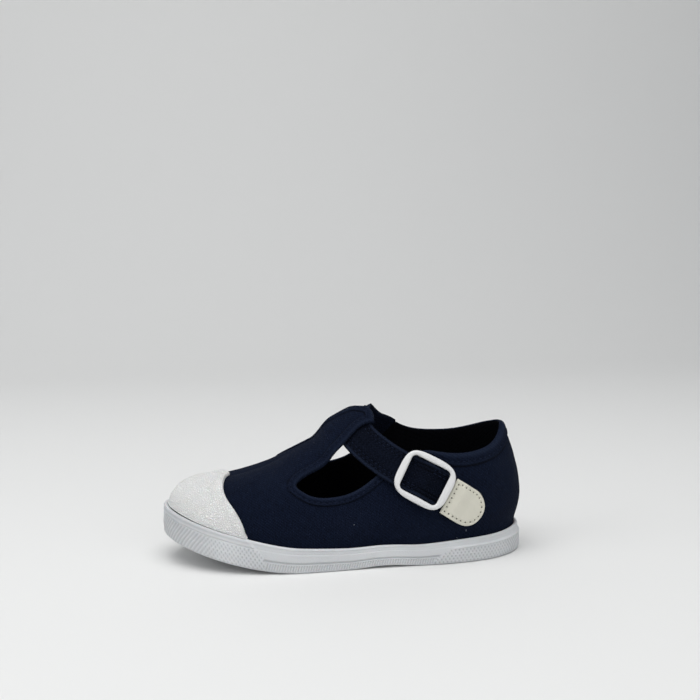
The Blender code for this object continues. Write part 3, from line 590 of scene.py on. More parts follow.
def newGroup(name, inputs, outputs):
    tree = bpy.data.node_groups.new(name, "ShaderNodeTree")
    for label, kind, value in inputs:
        socket = tree.interface.new_socket(label, in_out="INPUT", socket_type=kind)
        if value is not None:
            socket.default_value = value
    for label, kind in outputs:
        tree.interface.new_socket(label, in_out="OUTPUT", socket_type=kind)
    return tree, tree.nodes.new("NodeGroupInput"), tree.nodes.new("NodeGroupOutput")


def makeWeaveGroup():
    # plain weave with a slight diagonal, from flat coordinates in centimetres
    tree, source, target = newGroup("clothWeave", [
        ("Vector", "NodeSocketVector", None), ("Threads", "NodeSocketFloat", 14.0),
        ("Slub", "NodeSocketFloat", 0.5)], [("Height", "NodeSocketFloat"), ("Shade", "NodeSocketFloat")])
    split = addNode(tree, "ShaderNodeSeparateXYZ")
    noise = noiseNode(tree, Scale=9.0, Detail=3.0)
    link(tree, source.outputs["Vector"], split.inputs[0])
    link(tree, source.outputs["Vector"], noise.inputs["Vector"])
    shift = times(tree, minus(tree, noise.outputs["Fac"], 0.5), 0.05)
    u = plus(tree, split.outputs[0], shift)
    v = plus(tree, split.outputs[1], shift)
    turn = times(tree, source.outputs["Threads"], math.pi)
    warp = mathNode(tree, "SINE", times(tree, u, turn))
    weft = mathNode(tree, "SINE", times(tree, v, turn))
    cross = times(tree, warp, weft)
    diagonal = mathNode(tree, "SINE", times(tree, plus(tree, u, v), turn))
    both = plus(tree, cross, times(tree, diagonal, 0.45))
    slub = noiseNode(tree, Scale=22.0, Detail=4.0)
    stretch = addNode(tree, "ShaderNodeVectorMath", operation="MULTIPLY")
    stretch.inputs[1].default_value = (0.80, 0.13, 1.0)
    link(tree, source.outputs["Vector"], stretch.inputs[0])
    link(tree, stretch.outputs[0], slub.inputs["Vector"])
    lumps = times(tree, minus(tree, slub.outputs["Fac"], 0.5), source.outputs["Slub"])
    height = plus(tree, times(tree, both, 0.35), times(tree, lumps, 3.0))
    link(tree, plus(tree, height, 0.5), target.inputs["Height"])
    shade = plus(tree, times(tree, both, 0.22), times(tree, lumps, 1.8))
    link(tree, plus(tree, shade, 0.5, clamp=True), target.inputs["Shade"])
    return tree


def makeGrainGroup():
    # fine crackle and pebble of moulded rubber
    tree, source, target = newGroup("rubberGrain", [
        ("Vector", "NodeSocketVector", None), ("Cells", "NodeSocketFloat", 900.0),
        ("Crackle", "NodeSocketFloat", 0.5)], [("Height", "NodeSocketFloat"), ("Crack", "NodeSocketFloat")])
    cells = addNode(tree, "ShaderNodeTexVoronoi", feature="DISTANCE_TO_EDGE")
    link(tree, source.outputs["Vector"], cells.inputs["Vector"])
    link(tree, source.outputs["Cells"], cells.inputs["Scale"])
    noise = noiseNode(tree, Detail=4.0)
    link(tree, source.outputs["Vector"], noise.inputs["Vector"])
    link(tree, source.outputs["Cells"], noise.inputs["Scale"])
    edge = times(tree, cells.outputs["Distance"], 5.0, clamp=True)
    rough = times(tree, noise.outputs["Fac"], 0.6)
    link(tree, plus(tree, times(tree, edge, source.outputs["Crackle"]), rough),
         target.inputs["Height"])
    link(tree, minus(tree, 1.0, edge, clamp=True), target.inputs["Crack"])
    return tree


def makeDirtGroup():
    # soft uneven marks: large clouds with small specks
    tree, source, target = newGroup("handlingMarks", [
        ("Vector", "NodeSocketVector", None), ("Clouds", "NodeSocketFloat", 30.0),
        ("Specks", "NodeSocketFloat", 700.0)], [("Cloud", "NodeSocketFloat"), ("Speck", "NodeSocketFloat")])
    cloud = noiseNode(tree, Detail=5.0)
    speck = noiseNode(tree, Detail=2.0)
    for node, label in ((cloud, "Clouds"), (speck, "Specks")):
        link(tree, source.outputs["Vector"], node.inputs["Vector"])
        link(tree, source.outputs[label], node.inputs["Scale"])
    soft = times(tree, minus(tree, cloud.outputs["Fac"], 0.42), 3.0, clamp=True)
    spot = times(tree, minus(tree, speck.outputs["Fac"], 0.66), 12.0, clamp=True)
    link(tree, soft, target.inputs["Cloud"])
    link(tree, spot, target.inputs["Speck"])
    return tree


weaveGroup = makeWeaveGroup()
grainGroup = makeGrainGroup()
dirtGroup = makeDirtGroup()


def newMaterial(name, color, roughness):
    material = bpy.data.materials.new(name)
    material.use_nodes = True
    shader = material.node_tree.nodes["Principled BSDF"]
    shader.inputs["Base Color"].default_value = (*color, 1.0)
    shader.inputs["Roughness"].default_value = roughness
    return material, material.node_tree, shader


def useGroup(tree, group, coordinate, **values):
    node = addNode(tree, "ShaderNodeGroup", node_tree=group)
    link(tree, coordinate, node.inputs["Vector"])
    for key, value in values.items():
        node.inputs[key].default_value = value
    return node


def mixColor(tree, factor, first, second):
    node = addNode(tree, "ShaderNodeMix", data_type="RGBA")
    sockets = {s.identifier: s for s in node.inputs}
    for key, value in (("Factor_Float", factor), ("A_Color", first), ("B_Color", second)):
        if isinstance(value, (tuple, list)):
            sockets[key].default_value = (*value, 1.0)
        elif isinstance(value, float):
            sockets[key].default_value = value
        else:
            link(tree, value, sockets[key])
    return {s.identifier: s for s in node.outputs}["Result_Color"]


def addBump(tree, shader, height, strength, distance):
    bump = addNode(tree, "ShaderNodeBump")
    bump.inputs["Strength"].default_value = strength
    bump.inputs["Distance"].default_value = distance
    link(tree, height, bump.inputs["Height"])
    link(tree, bump.outputs[0], shader.inputs["Normal"])


def clothMaterial(name, look):
    material, tree, shader = newMaterial(name, look["dark"], look["roughness"])
    uv = addNode(tree, "ShaderNodeUVMap", uv_map="UVMap").outputs[0]
    weave = useGroup(tree, weaveGroup, uv, Threads=look["threads"], Slub=look["slub"])
    marks = useGroup(tree, dirtGroup, uv, Clouds=look["clouds"], Specks=look["specks"])
    cloth = mixColor(tree, weave.outputs["Shade"], look["dark"], look["light"])
    faded = mixColor(tree, times(tree, marks.outputs["Cloud"], look["fade"]), cloth, look["faded"])
    linted = mixColor(tree, times(tree, marks.outputs["Speck"], look["lint"]), faded, look["lintColor"])
    # painted highlight on ridges of the cloth and painted shade in its creases, mixed into the colour from two masks
    ridgeHighlight = maskOf(tree, "ridgeHighlight")
    creaseShade = maskOf(tree, "creaseShade")
    tinted = mixColor(tree, ridgeHighlight, linted, look["highlightColor"])
    link(tree, mixColor(tree, creaseShade, tinted, look["creaseShadeColor"]), shader.inputs["Base Color"])
    shader.inputs["Sheen Weight"].default_value = look["sheen"]
    shader.inputs["Sheen Roughness"].default_value = 0.5
    shader.inputs["Sheen Tint"].default_value = (0.45, 0.55, 0.8, 1.0)
    shader.inputs["Specular IOR Level"].default_value = look["gloss"]
    addBump(tree, shader, weave.outputs["Height"], look["bump"], 0.0004)
    return material


canvasLook = {
    "dark": (0.0012, 0.0022, 0.0075), "light": (0.0052, 0.0098, 0.0255), "faded": (0.0066, 0.0112, 0.0260),
    "roughness": 0.95, "threads": 15.0, "slub": 0.75, "clouds": 0.35, "specks": 16.0, "fade": 0.4, "gloss": 0.08,
    "lint": 0.22, "lintColor": (0.04, 0.052, 0.08), "sheen": 0.012, "bump": 0.7,
    # the last two colours are a painted highlight for ridges and a painted shade for creases
    "highlightColor": (0.0150, 0.0220, 0.0440), "creaseShadeColor": (0.0006, 0.0008, 0.0022),
}
strapLook = dict(canvasLook, dark=(0.0006, 0.0011, 0.0038), light=(0.0030, 0.0052, 0.0130), threads=13.0, bump=0.8)
liningLook = dict(canvasLook, dark=(0.0009, 0.0010, 0.0020), light=(0.0020, 0.0023, 0.0042),
                  faded=(0.0026, 0.0030, 0.0050), sheen=0.0, threads=10.0)
threadLook = dict(canvasLook, dark=(0.0060, 0.0095, 0.0240), light=(0.0140, 0.0200, 0.0420), threads=30.0, bump=0.3)
canvasMaterial = clothMaterial("navyCanvas", canvasLook)
strapMaterial = clothMaterial("navyWebbing", strapLook)
liningMaterial = clothMaterial("darkLining", liningLook)
threadMaterial = clothMaterial("navyThread", threadLook)


def rubberMaterial(name, look):
    material, tree, shader = newMaterial(name, look["color"], look["roughness"])
    place = addNode(tree, "ShaderNodeTexCoord").outputs["Object"]
    grain = useGroup(tree, grainGroup, place, Cells=look["cells"], Crackle=look["crackle"])
    marks = useGroup(tree, dirtGroup, place, Clouds=look["clouds"], Specks=look["specks"])
    # darkening from dirt clouds plus a mask; the mask is painted shade in grooves and pits and also darkens lower
    # and joining edges
    low = maskOf(tree, "dirtAndShade")
    clouded = plus(tree, times(tree, marks.outputs["Cloud"], 0.35), low)
    dirtAndShade = times(tree, clouded, look["dirtAndShade"], clamp=True)
    color = mixColor(tree, dirtAndShade, look["color"], look["dirtAndShadeColor"])
    cracked = times(tree, grain.outputs["Crack"], look["crackShade"])
    shaded = mixColor(tree, cracked, color, look["crackColor"])
    link(tree, shaded, shader.inputs["Base Color"])
    rough = plus(tree, times(tree, marks.outputs["Cloud"], 0.12), look["roughness"])
    link(tree, rough, shader.inputs["Roughness"])
    shader.inputs["Specular IOR Level"].default_value = look["gloss"]
    shader.inputs["Subsurface Weight"].default_value = 0.06
    shader.inputs["Subsurface Scale"].default_value = 0.002
    addBump(tree, shader, grain.outputs["Height"], look["bump"], 0.0004)
    return material


# the darkening strength and colour serve both dirt clouds and painted shade
soleLook = {
    "color": (0.70, 0.715, 0.73), "roughness": 0.5, "cells": 1500.0, "crackle": 0.25, "clouds": 26.0,
    "specks": 900.0, "dirtAndShade": 0.8, "dirtAndShadeColor": (0.30, 0.31, 0.325), "crackShade": 0.04,
    "crackColor": (0.5, 0.5, 0.52), "gloss": 0.35, "bump": 0.3,
}
capLook = dict(soleLook, color=(0.92, 0.92, 0.905), roughness=0.6, cells=1050.0, crackle=1.0, crackShade=0.20,
               crackColor=(0.50, 0.50, 0.50), bump=0.9, dirtAndShade=0.12)
soleMaterial = rubberMaterial("whiteRubber", soleLook)
capMaterial = rubberMaterial("capRubber", capLook)


def makePlasticMaterial():
    look = {"color": (0.74, 0.74, 0.74), "roughness": 0.22, "specks": 500.0}
    material, tree, shader = newMaterial("whitePlastic", look["color"], look["roughness"])
    place = addNode(tree, "ShaderNodeTexCoord").outputs["Object"]
    marks = useGroup(tree, dirtGroup, place, Clouds=60.0, Specks=look["specks"])
    rough = plus(tree, times(tree, marks.outputs["Cloud"], 0.14), look["roughness"])
    link(tree, rough, shader.inputs["Roughness"])
    color = mixColor(tree, times(tree, marks.outputs["Cloud"], 0.15), look["color"], (0.64, 0.64, 0.65))
    link(tree, color, shader.inputs["Base Color"])
    shader.inputs["Coat Weight"].default_value = 0.35
    shader.inputs["Coat Roughness"].default_value = 0.12
    addBump(tree, shader, marks.outputs["Cloud"], 0.08, 0.0002)
    return material


def makeTabMaterial():
    # the hole colour is painted shade for the stitch holes
    look = {"color": (0.72, 0.70, 0.60), "tinted": (0.60, 0.58, 0.49), "hole": (0.06, 0.055, 0.05), "roughness": 0.55}
    material, tree, shader = newMaterial("ivoryTab", look["color"], look["roughness"])
    place = addNode(tree, "ShaderNodeTexCoord").outputs["Object"]
    grain = useGroup(tree, grainGroup, place, Cells=1300.0, Crackle=0.6)
    marks = useGroup(tree, dirtGroup, place, Clouds=120.0, Specks=900.0)
    tinted = mixColor(tree, times(tree, marks.outputs["Cloud"], 0.5), look["color"], look["tinted"])
    # painted shade filling the stitch holes
    hole = maskOf(tree, "hole")
    link(tree, mixColor(tree, hole, tinted, look["hole"]), shader.inputs["Base Color"])
    addBump(tree, shader, grain.outputs["Height"], 0.35, 0.0003)
    return material


plasticMaterial = makePlasticMaterial()
tabMaterial = makeTabMaterial()
print("materials ready")

# Toplines: along and up on the last
upperCut = {
    "lateral": [
        (0.426, 0.735), (0.446, 0.745), (0.467, 0.722), (0.490, 0.676), (0.512, 0.635), (0.535, 0.602),
        (0.567, 0.572), (0.598, 0.540), (0.607, 0.500), (0.596, 0.450), (0.573, 0.392), (0.540, 0.360),
        (0.500, 0.356), (0.473, 0.377), (0.448, 0.412), (0.420, 0.448), (0.385, 0.474), (0.348, 0.474),
        (0.310, 0.434), (0.269, 0.402), (0.220, 0.391), (0.170, 0.398), (0.120, 0.424), (0.060, 0.458)],
    "heelTop": 0.468,
    "medialCollar": [
        (0.060, 0.463), (0.115, 0.455), (0.165, 0.445), (0.227, 0.440), (0.277, 0.459), (0.323, 0.503),
        (0.360, 0.585), (0.378, 0.665)],
    "medialCutout": [
        (0.440, 0.575), (0.455, 0.510), (0.476, 0.475), (0.505, 0.462), (0.545, 0.475), (0.585, 0.505),
        (0.613, 0.560), (0.628, 0.660), (0.622, 0.745), (0.598, 0.805), (0.565, 0.855), (0.531, 0.893),
        (0.500, 0.912), (0.473, 0.926), (0.452, 0.942)],
    "barEnd": [(0.431, 0.968), (0.418, 0.910), (0.415, 0.827)],
    "wall": 1.7,
    "hemRise": 0.5,
    "edgePitch": 0.8,
    "facePitch": 1.9,
    # lines of points beside the edge, and the hem's section: distance and height
    "hemRings": (0.3, 0.75, 1.5, 2.15, 2.5, 2.85, 3.2, 3.45, 3.7, 4.1, 4.9),
    "hemSection": [
        (0.0, -0.45), (0.25, 0.10), (0.7, 0.55), (1.4, 0.68), (2.1, 0.62), (2.5, 0.40), (2.8, 0.62),
        (3.2, 0.58), (3.45, 0.30), (3.7, -0.12), (4.1, -0.14), (4.9, 0.0)],
    "collarStretch": (-34.0, 14.0, 0.65),
    "pucker": 0.05,
    "puckerPitch": 2.5,
}


def flatRows(side, rows):
    return np.array([flatten(np.float64(side), along, up) for along, up in rows])


def openingLoop(pitch):
    heel = [flatten(np.float64(1), 0.0, upperCut["heelTop"])]
    lateral = np.concatenate([flatRows(1, upperCut["lateral"]), heel, flatRows(-1, upperCut["medialCollar"])])
    medial = flatRows(-1, upperCut["medialCutout"])
    ear = np.linspace(lateral[-1], medial[0], 5)
    end = np.concatenate([medial[-1:], flatRows(1, upperCut["barEnd"]), lateral[:1]])
    return np.concatenate([resample(line, pitch)[:-1] for line in (lateral, ear, medial, end)])


def baseLoop(up, count):
    along = np.linspace(0, 1, count + 1)
    side = np.r_[np.ones(count + 1), -np.ones(count - 1)]
    along = np.r_[along, along[-2:0:-1]]
    return flatten(side, along, np.full(len(along), up))


loopShape = {
    "skin": 0.9,
    "clear": 0.72,
    "reach": 27.0,
    "fade": 9.0,
    "lead": 1.4,
    "ramp": 4.5,
    "softRamp": 13.0,
    "roll": 0.6,
    "rollLength": 2.3,
    "width": 17.0,
    "under": 1.1,
    "sink": 0.2,
    "tuck": 0.4,
    "foldSpan": (-2.2, 4.5),
    # s and b of the T-bar's rounded end
    "endEdge": [(-3.3, 8.2), (-1.4, 9.3), (0.5, 9.9), (2.5, 10.1), (4.2, 9.4), (4.7, 8.4)],
}
strapShape = {
    "width": 16.0,
    "thick": 1.6,
    "tip": 0.9,
    "tail": 27.0,
    "gatherPitch": 1.7,
    "gatherDepth": 0.2,
    "seams": (-5.9, -4.3, 4.3, 5.9),
    "seamDepth": 0.32,
    "seamWidth": 0.34,
    "welts": (-7.0, -5.1, 5.1, 7.0),
    "weltRise": 0.20,
    "weltWidth": 0.55,
    "step": 0.28,
}
loopTop = lastShape["gap"] + strapShape["thick"] + loopShape["clear"] + loopShape["skin"]


def overStrap(points):
    # share of the lift of the T-bar where the strap runs through its loop
    start = strapTrack.at(0.0, 0.0, 0.0)
    across = strapTrack.at(0.0, 1.0, 0.0) - start
    reach = points - start
    b = reach @ across
    ramp = smooth((b + strapShape["width"] / 2 + loopShape["lead"] + loopShape["softRamp"]) / loopShape["softRamp"])
    fade = smooth((loopShape["reach"] - np.linalg.norm(reach, axis=1)) / loopShape["fade"])
    over = np.clip((b - strapShape["width"] / 2) / loopShape["rollLength"], 0, 1)
    roll = loopShape["roll"] * (1 - np.sqrt(1 - 0.98 * over ** 2))
    return ramp * fade * (1 - roll)


# Soft folds in the canvas: side, first along and up, last along and up, width, height (minus for a trough)
folds = [
    (1, 0.640, 0.62, 0.668, 0.30, 3.4, -0.45),
    (1, 0.615, 0.66, 0.642, 0.36, 3.0, 0.28),
    (1, 0.676, 0.78, 0.700, 0.50, 3.6, -0.35),
    (1, 0.608, 0.80, 0.640, 0.64, 3.0, -0.22),
    (1, 0.560, 0.28, 0.470, 0.22, 4.2, -0.40),
    (1, 0.430, 0.20, 0.520, 0.14, 3.6, 0.30),
    (1, 0.355, 0.40, 0.300, 0.33, 3.0, -0.30),
    (1, 0.130, 0.34, 0.215, 0.10, 4.4, -0.35),
    (1, 0.080, 0.30, 0.150, 0.13, 3.4, 0.25),
    (1, 0.240, 0.06, 0.380, 0.05, 2.6, -0.22),
    (-1, 0.640, 0.60, 0.668, 0.28, 3.4, -0.45),
    (-1, 0.560, 0.33, 0.470, 0.26, 4.0, -0.40),
    (-1, 0.330, 0.40, 0.280, 0.22, 4.0, -0.40),
    (-1, 0.120, 0.34, 0.200, 0.12, 4.2, -0.30),
    (1, 0.742, 0.70, 0.735, 0.45, 2.4, 0.20),
]


def foldHeight(points):
    total = np.zeros(len(points))
    for side, along0, up0, along1, up1, width, height in folds:
        share = np.linspace(0, 1, 60)
        line = lastPoint(along0 + (along1 - along0) * share, np.full(60, float(side)), up0 + (up1 - up0) * share)
        gaps, which = distances(points, line)
        ends = smooth(np.minimum(share[which], 1 - share[which]) / 0.35)
        total += height * ends * np.exp(-(gaps / width * 1.6) ** 2)
    return total


def clothWaves(points):
    # small uneven waves that no cut cloth is free of
    x, y, z = points.T
    return (0.10 * np.sin(x * 0.21 + z * 0.33 + 1.2) * np.sin(z * 0.27 - x * 0.12)
            + 0.06 * np.sin(x * 0.55 - z * 0.41 + y * 0.2) * np.sin(x * 0.17 + y * 0.31)
            + 0.03 * np.sin(x * 1.3 + z * 1.1) * np.sin(z * 1.7 - y * 0.9))


def hemStretch(points):
    # the hem is wider round the collar than at the cut-outs
    start, run, more = upperCut["collarStretch"]
    return 1 + more * smooth((start - points[:, 0]) / run)


def hemHeight(gaps):
    return np.interp(gaps, *zip(*upperCut["hemSection"]))


def makeUpper():
    hole = openingLoop(upperCut["edgePitch"])
    outer = baseLoop(0.0, 150)
    probe = offsetLoop(hole, 1.0, 1.0)
    sign = -1.0 if inside(probe[:1], hole)[0] else 1.0
    extra = []
    holeLine = densify(surface(hole), closed=True, count=3)
    stretch = hemStretch(surface(hole))
    for offset in upperCut["hemRings"]:
        line = offsetLoop(hole, offset * stretch[:, None], sign)
        gaps, _ = distances(surface(line), holeLine)
        extra.append(line[gaps > offset * stretch * 0.93])
    extra = np.concatenate(extra)
    extra = extra[inside(extra, outer) & ~inside(extra, hole)]
    flat, faces = fillPattern(outer, [hole], extra, upperCut["facePitch"], 0.5)
    along, side, up = unflatten(flat)
    base = lastPoint(along, side, up)
    out = normals(flat)
    gaps, which = distances(base, holeLine)
    gaps = gaps / hemStretch(base)
    ramp = overStrap(base)
    calm = smooth(up / 0.12) * smooth((gaps - 2.0) / 6.0)
    run = which / 3.0 * upperCut["edgePitch"]
    pucker = upperCut["pucker"] * np.sin(run * 2 * math.pi / upperCut["puckerPitch"]) * bell(gaps - 2.6, 0.7)
    soft = calm * (foldHeight(base) + clothWaves(base)) * (1 - ramp)
    lift = hemHeight(gaps) + pucker + loopTop * ramp + soft
    inner = loopTop * ramp - upperCut["wall"] + (loopShape["skin"] - upperCut["wall"]) * -ramp
    inner = inner + 0.25 * (1 - smooth(gaps / 0.8))
    outside = base + out * lift[:, None]
    insidePoints = base + out * inner[:, None]
    uv = clothUv(along, side, up)
    # painted highlight on the hem's rolled edge and crest; painted shade in the crease under the hem and in the
    # stitch groove
    ridgeHighlight = 0.5 * bell(gaps - 0.7, 0.6) + 0.3 * bell(gaps - 3.1, 0.25)
    creaseShade = 0.85 * bell(gaps - 3.72, 0.22) + 0.35 * bell(gaps - 2.5, 0.16)
    shell = [tuple(f) for f in faces] + borderWall(faces, len(flat))
    points = np.concatenate([outside, insidePoints])
    keep = np.unique(np.concatenate([np.ravel(f) for f in shell]))
    index = np.full(len(points), -1)
    index[keep] = np.arange(len(keep))
    makePiece("canvasUpper", points[keep], [tuple(index[k] for k in f) for f in shell], canvasMaterial, "upper",
              np.concatenate([uv, uv])[keep],
              {"ridgeHighlight": np.r_[ridgeHighlight, ridgeHighlight * 0][keep], "creaseShade": np.r_[creaseShade, creaseShade * 0][keep]})
    makePiece("upperLining", insidePoints, faces[:, ::-1], liningMaterial, "upper", uv)
    return hole, sign


def tubePieces(paths, radius, sides=6):
    # thin round threads along short paths, closed at both ends
    points = []
    faces = []
    for path, out in paths:
        path = np.asarray(path)
        ahead = np.gradient(path, axis=0)
        ahead /= np.linalg.norm(ahead, axis=1, keepdims=True)
        side = np.cross(ahead, out)
        side /= np.linalg.norm(side, axis=1, keepdims=True)
        normal = np.cross(side, ahead)
        start = len(points)
        count = len(path)
        for k in range(count):
            share = k / (count - 1)
            size = radius * math.sqrt(max(0.06, 1 - (2 * share - 1) ** 6))
            for j in range(sides):
                angle = 2 * math.pi * j / sides
                points.append(path[k] + size * (math.cos(angle) * side[k] + math.sin(angle) * normal[k]))
        faces += tubeFaces(count, sides, start)
    return np.array(points), faces


def stitchPaths(flatLine, length, gap, lift, dip=0.12):
    # splits a line on the last into stitches, their ends sunk
    paths = []
    reach = runLength(surface(flatLine))
    position = gap
    lines = []
    while position + length < reach[-1]:
        shares = position + length * np.linspace(0, 1, 5)
        lines.append(np.stack([np.interp(shares, reach, flatLine[:, k]) for k in range(2)], 1))
        position += length + gap
    if not lines:
        return paths
    flat = np.array(lines)
    spots = surface(flat)
    out = normals(flat)
    profile = np.array([-dip, 0.35 * dip, 0.6 * dip, 0.35 * dip, -dip])
    height = profile[None, :] + (lift if np.isscalar(lift) else lift(spots.reshape(-1, 3)).reshape(spots.shape[:2]))
    spots = spots + out * height[..., None]
    return [(spots[k], out[k]) for k in range(len(spots))]


hemStitch = {"offset": 2.5, "length": 2.0, "gap": 0.65, "radius": 0.2, "lift": 0.42}


def makeHemStitches(hole, sign):
    offset = hemStitch["offset"] * hemStretch(surface(hole))
    line = offsetLoop(hole, offset[:, None], sign)
    gaps, _ = distances(surface(line), densify(surface(hole), closed=True, count=3))
    good = np.r_[gaps > offset * 0.95, False]
    line = np.concatenate([line, line[:1]])

    def lift(spots):
        return hemStitch["lift"] + loopTop * overStrap(spots)

    paths = []
    start = 0
    for i in range(len(line) + 1):
        if i == len(line) or not good[i]:
            if i - start > 6:
                paths += stitchPaths(line[start:i], hemStitch["length"], hemStitch["gap"], lift)
            start = i + 1
    points, faces = tubePieces(paths, hemStitch["radius"])
    makePiece("hemStitches", points, faces, threadMaterial, None, points[:, :2] * toCm)


def makeLoop():
    # end of the T-bar, folded down behind the strap and sewn under it
    half = strapShape["width"] / 2 + loopShape["clear"]
    front = strapShape["width"] / 2 + loopShape["lead"] + loopShape["ramp"]
    top = loopTop - loopShape["tuck"]
    back = half + loopShape["skin"]
    inner = top - loopShape["skin"]
    under, sink = loopShape["under"], loopShape["sink"]
    arc = np.linspace(0, math.pi / 2, 7)
    outerBend = [(back - 1.5 + 1.5 * math.cos(a), top - 1.5 + 1.5 * math.sin(a)) for a in arc]
    lowBend = [(back - 1.0 + 1.0 * math.cos(a), 0.1 + 1.1 * math.sin(a) - 0.2) for a in -arc[::-1]]
    innerBend = [(half - 0.6 + 0.6 * math.cos(a), inner - 0.6 + 0.6 * math.sin(a)) for a in arc[::-1]]
    profile = [(-front, -under)] + [(b, -under) for b in np.linspace(-half, half - 1, 8)]
    profile += lowBend + outerBend + innerBend + [(half, -sink + 0.1)]
    profile += [(b, -sink) for b in np.linspace(half - 0.6, -half, 8)] + [(-front, -sink)]
    profile = np.array(profile)
    spots = np.linspace(*loopShape["foldSpan"], 26)
    rows = []
    for s in spots:
        shape = profile.copy()
        behind = np.interp(s, *zip(*loopShape["endEdge"]))
        inward = max(0.0, back - behind + 0.15)
        shape[:, 0] = np.where(shape[:, 0] > half - 1.2, shape[:, 0] - inward, shape[:, 0])
        rows.append(strapTrack.at(s, shape[:, 0], shape[:, 1]))
    makePiece("strapLoop", np.concatenate(rows), tubeFaces(len(rows), len(profile)), canvasMaterial, "upper",
              gridUv(flatRun(profile), spots), sharp=50)


barSeam = {"span": (-6.5, 8.5), "inset": 1.2, "length": 1.9, "gap": 0.5, "radius": 0.22, "lift": 0.16}


def makeBarSeam():
    # cross seam that closes the loop in front of the strap
    b = -strapShape["width"] / 2 - loopShape["lead"] - loopShape["ramp"] + barSeam["inset"]
    line = strapTrack.flat(np.linspace(*barSeam["span"], 60), np.full(60, b))

    def lift(spots):
        return loopTop * overStrap(spots) + barSeam["lift"]

    paths = stitchPaths(line, barSeam["length"], barSeam["gap"], lift)
    points, faces = tubePieces(paths, barSeam["radius"])
    makePiece("barSeam", points, faces, threadMaterial, None, points[:, :2] * toCm)


hole, holeSign = makeUpper()
makeHemStitches(hole, holeSign)
makeLoop()
makeBarSeam()


# Counter seam on both sides: along and up of its ends
counterSeam = {"ends": ((0.195, 0.318), (0.236, 0.232)), "length": 1.6, "gap": 0.5, "radius": 0.16, "lift": 0.05}


def makeCounterSeam():
    paths = []
    for side in (1, -1):
        first, second = (flatten(np.float64(side), *end) for end in counterSeam["ends"])
        line = first + (second - first) * np.linspace(0, 1, 40)[:, None]
        paths += stitchPaths(line, counterSeam["length"], counterSeam["gap"], counterSeam["lift"])
    points, faces = tubePieces(paths, counterSeam["radius"])
    makePiece("counterSeam", points, faces, threadMaterial, None, points[:, :2] * toCm)


makeCounterSeam()
print("upper ready")


def stationAlong():
    # stations of even length round the foot, the same on both sides
    along = np.linspace(0, 1, 4001)
    x, y, _ = outline(along, np.ones(4001))
    run = flatRun(np.stack([x, y], 1))
    even = np.linspace(0, run[-1], int(run[-1] / foxing["stationPitch"]))
    return np.interp(even, run, along), even


def wallProfile():
    # level, inset of the wall, and how far the toe and heel panels stand out of it
    wide = foxing["grooveWidth"] / lastShape["foxing"]
    step = foxing["panelStep"]
    deep = step + foxing["grooveDepth"]
    slope = foxing["stepSlope"] / lastShape["foxing"]
    lean = foxing["lean"]
    roundShare = foxing["edgeRound"] / lastShape["foxing"]
    rows = [
        (0.0, step + foxing["edgeRound"], 0, 0),
        (roundShare * 0.35, step + 0.35 * foxing["edgeRound"], step * 0.3, step * 0.3),
        (roundShare, step, step * 0.6, step * 0.6),
        (lowBand - wide, step, step, step),
        (lowBand - wide / 2, deep, deep, deep),
        (lowBand + wide / 2, deep, deep, deep),
        (lowBand + wide, step + lean * 0.2, step, step),
        (foxing["heelPanelTop"] - slope, step + lean * 0.4, step, step),
        (foxing["heelPanelTop"] + slope, step + lean * 0.5, step * 0.7, 0),
        (beadFrom - slope, step + lean * 0.8, step * 0.6, 0),
        (beadFrom + slope, step + lean * 0.8, foxing["beadStep"] + step * 0.6, 0),
        (1 - 2 * slope, step + lean, foxing["beadStep"] + step * 0.6, 0),
        (1.0, step + lean + foxing["beadStep"] * 0.6, foxing["beadStep"] + step * 0.4, 0),
    ]
    return np.array(rows, float).T


def wallLevels():
    places = wallProfile()[0]
    fine = []
    for a, b in zip(places[:-1], places[1:]):
        parts = max(1, int(math.ceil((b - a) / 0.045)))
        fine += list(a + (b - a) * np.arange(parts) / parts)
    return np.array(fine + [1.0])


def rounded(wave, sharpness):
    return np.clip(wave * sharpness, -1, 1) * 0.5 + 0.5


def panelShares(x, level):
    # 1 inside the toe and the heel panel, 0 outside
    inToe = smooth((x - arcX(foxing["toePanel"], level)) / foxing["panelFade"])
    return inToe, smooth((arcX(foxing["heelPanel"], level) - x) / foxing["panelFade"])


def between(level, low, rise, high, fall):
    return smooth((level - low) / rise) * smooth((high - level) / fall)


